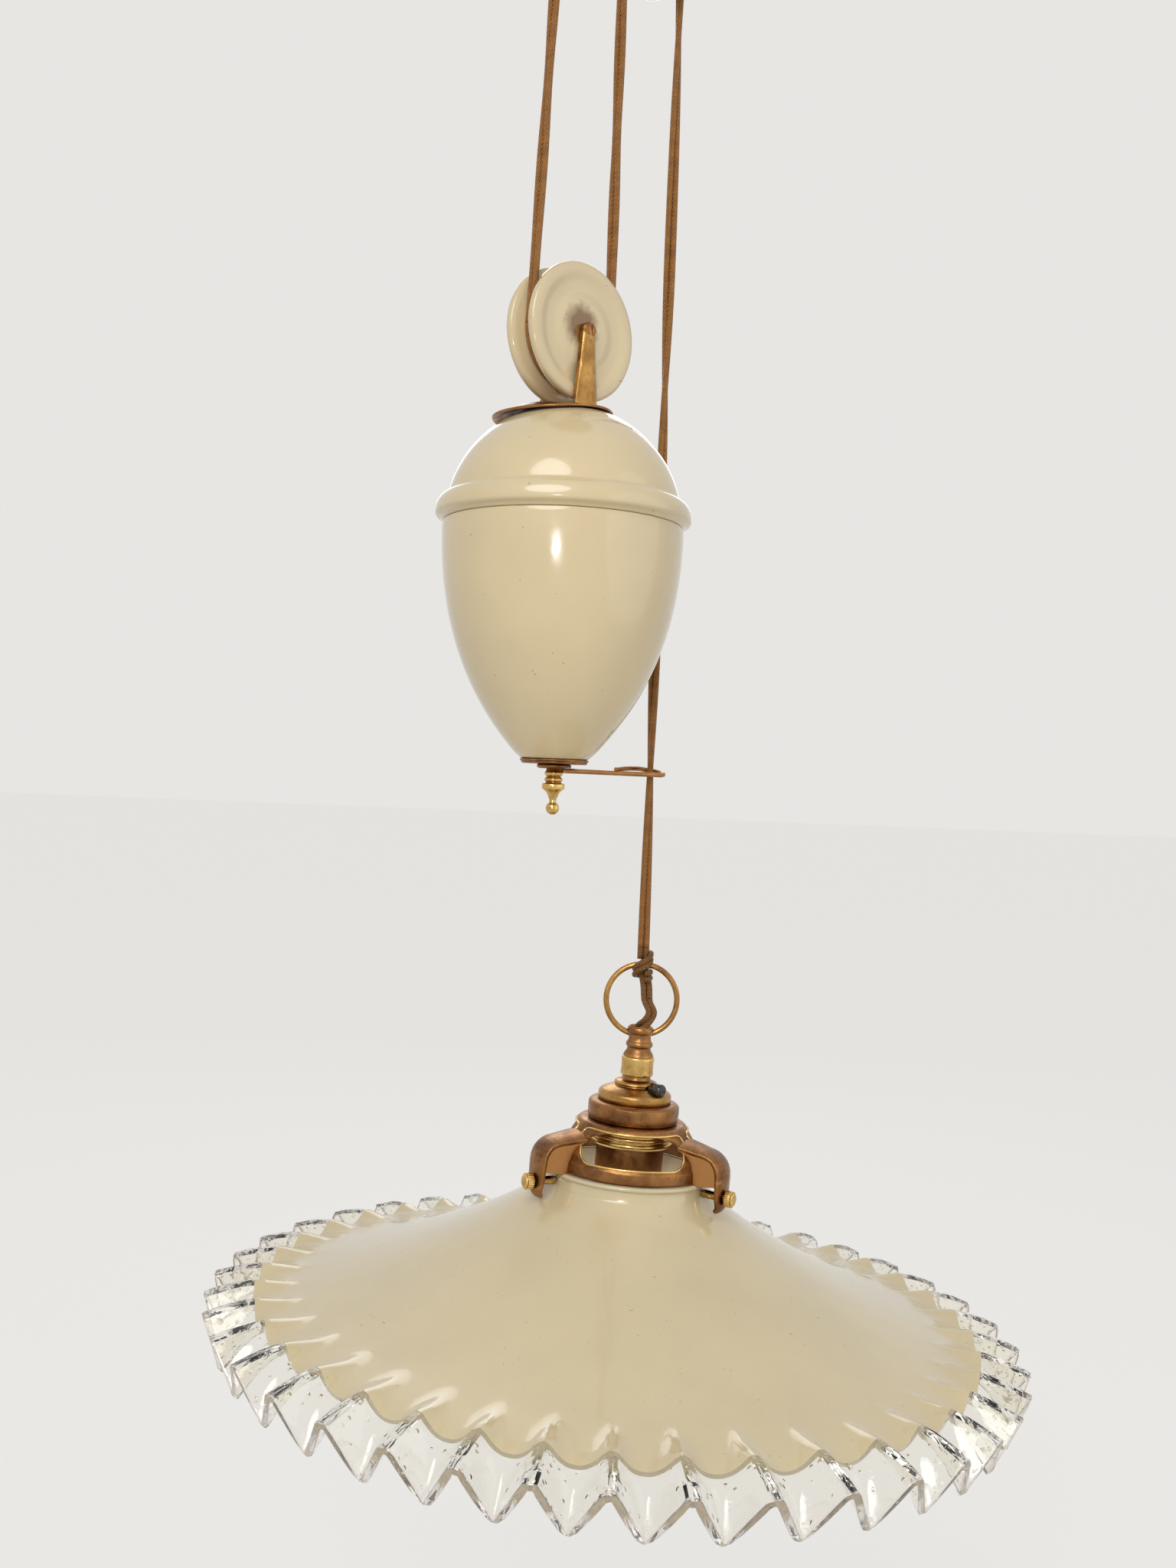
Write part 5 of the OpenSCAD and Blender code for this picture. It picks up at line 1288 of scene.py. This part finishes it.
def pleated(piece, profile, seam_r):
    """Folds the turned glass sheet into pleats that deepen towards its edge, with lobes along the seam."""
    for v in piece.data.vertices:
        r = sqrt(v.co.x**2 + v.co.y**2) / MM
        if r <= PLEATS_FROM:
            continue
        turn = atan2(v.co.y, v.co.x)
        near = (r - PLEATS_FROM) / (seam_r - PLEATS_FROM) if r < seam_r else (RIM_R - r) / (RIM_R - seam_r)
        z = v.co.z / MM
        moved = r + SEAM_LOBE * (0.5 * fold(turn, 2.2, 1.0) + 0.2) * max(0, near) ** 1.5
        z += profile_height(profile, moved) - profile_height(profile, r)
        share = (r - PLEATS_FROM) / (RIM_R - PLEATS_FROM)
        notch = (1 - fold(turn, 3.7 - 2.6 * share, 1.0 - 0.12 * share)) / 2
        lift = PLEAT_H / 2 * (share**3 - notch * (share**1.2 + share**3))
        new_r = moved - lift * sin(PLEAT_LEAN)
        v.co = Vector((new_r * cos(turn), new_r * sin(turn), z - lift * cos(PLEAT_LEAN))) * MM


def rim_line(low, high, steps):
    top = GLASS_TOP - OPAL_H - GLASS_T / 2
    made = []
    for i in range(steps + 1):
        s = low + (high - low) * i / steps
        made.append((OPAL_EDGE_R + (RIM_R - OPAL_EDGE_R) * s, top - RIM_FALL * s**1.6))
    return made


def add_shade(opal_glass, clear):
    """One sheet of glass: opal from its neck outwards, clear beyond a scalloped edge, crimped all round."""
    profile = sheet_profile()
    seam_r = OPAL_EDGE_R + (RIM_R - OPAL_EDGE_R) * OPAL_END
    opal_part = [p for p in profile if p[0] < OPAL_EDGE_R + 0.5] + rim_line(0.07, OPAL_END, 7)
    neck = [(29.0, GLASS_TOP - 0.2), (29.0, GLASS_TOP - 2.4)]
    sheet = turned("sheet", neck + opal_part, steps=PLEATS * PLEAT_STEPS, closed=False)
    pleated(sheet, profile, seam_r)
    apply(sheet, "SOLIDIFY", thickness=GLASS_T * MM, offset=0)
    fall = [(27.6, 0.1), (28.4, 0), (30.6, 0), (31.2, 0.3), (31.4, 0.9), (31.1, 1.45), (30.4, 1.9), (29, 2.2)]
    lip = turned("lip", [(r, GLASS_TOP - drop) for r, drop in fall], 144, smoothing=60)
    shade = joined("opal_sheet", [sheet, lip])
    smooth(shade, 50)
    place(shade, AT_LAMP)
    dress(shade, opal_glass, "lamp", "opal_glass", "shade")

    rim = turned("crimped_rim", rim_line(OPAL_END - 0.02, 1, 20), steps=PLEATS * PLEAT_STEPS, closed=False)
    pleated(rim, profile, seam_r)
    apply(rim, "SOLIDIFY", thickness=RIM_T * MM, offset=0)
    round_free_edge(rim)
    smooth(rim, 38)
    place(rim, AT_LAMP)
    dress(rim, clear, "lamp", "clear_glass", "shade_rim")


def round_free_edge(rim):
    """Rounds the free edge of the clear glass, as fire polishing does, and marks it for its whitish tint,
    which is a painted highlight.
    """
    mesh = rim.data
    normals = {}
    for face in mesh.polygons:
        for key in face.edge_keys:
            normals.setdefault(key, []).append(face.normal.copy())
    corners = {key for key, pair in normals.items() if len(pair) == 2 and pair[0].dot(pair[1]) < 0.3}
    edit_mode(True)
    select_mesh(False)
    edit_mode(False)
    for edge in mesh.edges:
        a, b = (mesh.vertices[i].co for i in edge.vertices)
        out = Vector((a.x, a.y, 0)).normalized()
        across = abs((a - b).normalized().dot(out))
        outermost = min(a.xy.length, b.xy.length) > (RIM_R - 9) * MM
        edge.select = edge.key in corners and outermost and across < 0.75
    edit_mode(True)
    bpy.ops.mesh.select_mode(type="EDGE")
    bpy.ops.mesh.bevel(offset=FIRE_POLISH * MM, segments=4, affect="EDGES", clamp_overlap=True)
    bpy.ops.mesh.select_mode(type="VERT")
    edit_mode(False)
    marks = mesh.attributes.new("edge", "FLOAT", "POINT")
    for v, mark in zip(mesh.vertices, marks.data):
        mark.value = 1.0 if v.select else 0.0


# ---------------------------------------------------------------- ceiling fitting

CEILING_SCREW_X = 46.0


def add_canopy(material):
    rim, flat, floor, lip = 59.0, 42.0, -30.0, -3.0
    outline = [(0, floor), (flat - 6, floor)]
    outline += arc((flat, lip), rim - flat - 1, -(floor - lip), -100, 0, 26)
    outline += [(rim - 0.9, lip + 0.3), (rim - 0.2, lip + 0.55), (rim, lip + 1.0), (rim - 0.2, -0.7),
                (rim - 0.7, -0.5), (rim - 1.6, -0.5), (rim - 2.0, -1.0)]
    outline += arc((flat, lip), rim - flat - 2, -(floor - lip) - 1, 0, -98, 26)
    outline += [(flat - 6, floor + 1), (0, floor + 1)]
    canopy = turned("ceiling_rose", outline, 144, smoothing=40)
    dress(canopy, material, "ceiling", "dark_brass", "canopy")


def add_strap(material):
    """A bent strap, with two holes for the ceiling screws."""
    flat_x, t, w, h, l = 38.0, 2.0, 18.0, 16.0, 108.0
    line = [(-l / 2, 0), (-flat_x, 0), (-flat_x, -h + t), (flat_x, -h + t), (flat_x, 0), (l / 2, 0),
            (l / 2, -t), (flat_x + t, -t), (flat_x + t, -h), (-flat_x - t, -h), (-flat_x - t, -t),
            (-l / 2, -t), (-l / 2, 0)]
    strap = plate("bent_strap", [(x, -w / 2, z) for x, z in line], w)
    for x, r in ((-CEILING_SCREW_X, 2.25), (CEILING_SCREW_X, 2.25),
                 (CEILING_AXLE.x / MM, 4.1), (centre("cord_grip").x / MM, 4.3)):
        cut(strap, rod("hole", r, 40, (x, 0, 0), sides=48, edge=0))
    soften(strap, 0.35, 2, 50)
    smooth(strap, 40)
    dress(strap, material, "ceiling", "brass", "mounting_strap")


def add_ceiling_fitting(brass, bright_brass, brown_brass, bisque_white, porcelain):
    add_canopy(brown_brass)
    add_strap(brass)
    add_wheel("roof_wheel", CEILING_WHEEL_R, 5.0, AT_CEILING_WHEEL, "ceiling_wheel", "ceiling_pulley",
              porcelain)
    add_axle("roof", AT_CEILING_WHEEL, "ceiling", "ceiling_axle", bright_brass, brass)

    root = 22.95          # from the axle to the underside of the fork's yoke
    top = (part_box("hanger_fork")[1].z - CEILING_AXLE.z) / MM
    flip = Matrix.Rotation(pi, 4, "X")
    arms = [place(fork_arm(side, root + 1, 10.0, 6.0, 1.8, 1.0), flip) for side in (-1, 1)]
    yoke = block("yoke", (10, 2 * FORK_OUT + 1.0, 2.4), (0, 0, root + 1.2), 0.5)
    stem = turned("stem", [(0, root + 1), (4, root + 1), (4, top - 0.6), (3.4, top), (0, top)], 48, 0.1)
    fork = joined("ceiling_fork", [yoke, stem, *arms])
    smooth(fork, 40)
    place(fork, AT_CEILING_WHEEL)
    dress(fork, brass, "ceiling", "brass", "hanger_fork")

    for name, across, bore in (("stem_nut", 13.0, 4.05), ("grip_nut", 12.4, 4.25)):
        low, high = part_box(name)
        nut = hex_nut(name, across, bore, (high.z - low.z) / MM)
        nut.name = nut.data.name = name.replace("_nut", "_hexagon")
        place(nut, Matrix.Translation(((low.x + high.x) / 2, 0, low.z)))
        dress(nut, brass, "ceiling", "brass", name)

    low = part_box("canopy_nut")[0]
    outline = [(4.05, 0), (5.9, 0), (6.5, 0.4), (6.9, 1.4), (7.4, 3.2), (7.5, 4.4), (7.3, 5.0), (4.05, 5.0)]
    nut = turned("rose_nut", outline, 96, 0.1, at=Matrix.Translation((CEILING_AXLE.x, 0, low.z)))
    dress(nut, bright_brass, "ceiling", "brass", "canopy_nut")

    low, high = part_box("cord_grip")
    length = (high.z - low.z) / MM
    outline = [(2.7, 0), (3.6, 0), (4.1, 0.4), (4.2, 1.0), (4.2, 16.6), (4.6, 17.0), (6.4, 17.2), (7.2, 17.8),
               (7.2, 19.2), (6.8, 20), (4.2, 20), (4.2, length), (2.7, length)]
    grip = turned("grip_bush", outline, 72, 0.12, at=Matrix.Translation((centre("cord_grip").x, 0, low.z)))
    dress(grip, bright_brass, "ceiling", "brass", "cord_grip")

    for name, finish in (("grip_screw", bright_brass), ("terminal_screws", bright_brass),
                         ("terminal_block", bisque_white)):
        keep(name, finish)


# ---------------------------------------------------------------- everything together

def main():
    add_camera()
    pale = (0.80, 0.79, 0.77)
    add_world(pale, 0.42)
    add_floor(pale)
    add_light("key", (-1.0, -0.6, 0.5), (0, 0, -0.4), 0.9, 8)
    add_light("fill", (0.6, -1.2, -0.1), (0, 0, -0.4), 1.6, 3)
    add_light("back", (0.8, 0.9, 0.3), (0, 0, -0.4), 0.9, 3)
    add_light("flash", (-0.42, -0.36, -0.30), (0.02, 0, -0.40), 0.05, 0.5)

    silk_flex = silk("silk_braid", (0.50, 0.205, 0.046), (0.13, 0.04, 0.01))
    # painted shade: a darker copy of the same braid, for the knot and its tails, which hang in shade
    shaded_silk = silk("silk_in_shade", (0.30, 0.12, 0.03), (0.065, 0.022, 0.007))
    porcelain = glazed("cream_glaze", (0.74, 0.60, 0.36), (0.16, 0.10, 0.05), 0.78)
    stained = glazed("stained_glaze", (0.74, 0.60, 0.36), (0.16, 0.10, 0.05), 0.78,
                     WEIGHT_AXLE + Vector((-1.8, 0, 1.6)) * MM)
    bisque_white = bisque("unglazed_porcelain", (0.78, 0.73, 0.63))
    brass = old_brass("aged_brass", (0.50, 0.28, 0.085), (0.22, 0.10, 0.032), 0.30, 0.8, 0.4)
    bright_brass = old_brass("rubbed_brass", (0.72, 0.49, 0.17), (0.42, 0.24, 0.075), 0.22, 0.6, 0.4)
    brown_brass = old_brass("brown_brass", (0.36, 0.175, 0.062), (0.15, 0.062, 0.026), 0.34, 0.9, 0.3)
    opal_glass = opal("opal_white", (0.76, 0.64, 0.40))
    # the third colour is the painted highlight on the rim's free edge
    clear = clear_glass("clear_pressed_glass", (0.95, 0.93, 0.87), (0.92, 0.85, 0.80))
    ebonite = black_gloss("black_ebonite")
    iron = grey_metal("rough_iron", (0.17, 0.16, 0.15), (0.06, 0.05, 0.045), 0.6, 300, 0.8)
    steel = grey_metal("spring_wire", (0.55, 0.55, 0.54), (0.35, 0.35, 0.35), 0.25, 900)

    add_flex(silk_flex, shaded_silk)
    add_wheel("weight_wheel", WEIGHT_WHEEL_R, 5.2, AT_WEIGHT, "counterweight_wheel",
              "counterweight_pulley", stained)
    add_axle("weight", AT_WEIGHT, "counterweight", "counterweight_axle", brown_brass, bright_brass)
    add_counterweight(porcelain, brass, bright_brass, brown_brass, iron)

    add_ring(brass)
    add_boss(brown_brass)
    add_collar(bright_brass)
    add_cap(brass)
    add_cord_screw(ebonite)
    add_shade_rings(brown_brass, bright_brass)
    add_gallery(brown_brass)
    add_window_trim(bright_brass)
    add_gallery_screws(bright_brass)
    for name, finish in (("holder_barrel", brown_brass), ("insulator", bisque_white),
                         ("insulator_screws", bright_brass), ("contact_springs", steel),
                         ("contact_plungers", bright_brass)):
        keep(name, finish)
    add_shade(opal_glass, clear)
    add_ceiling_fitting(brass, bright_brass, brown_brass, bisque_white, porcelain)


bpy.context.scene.view_settings.view_transform = "Standard"
main()
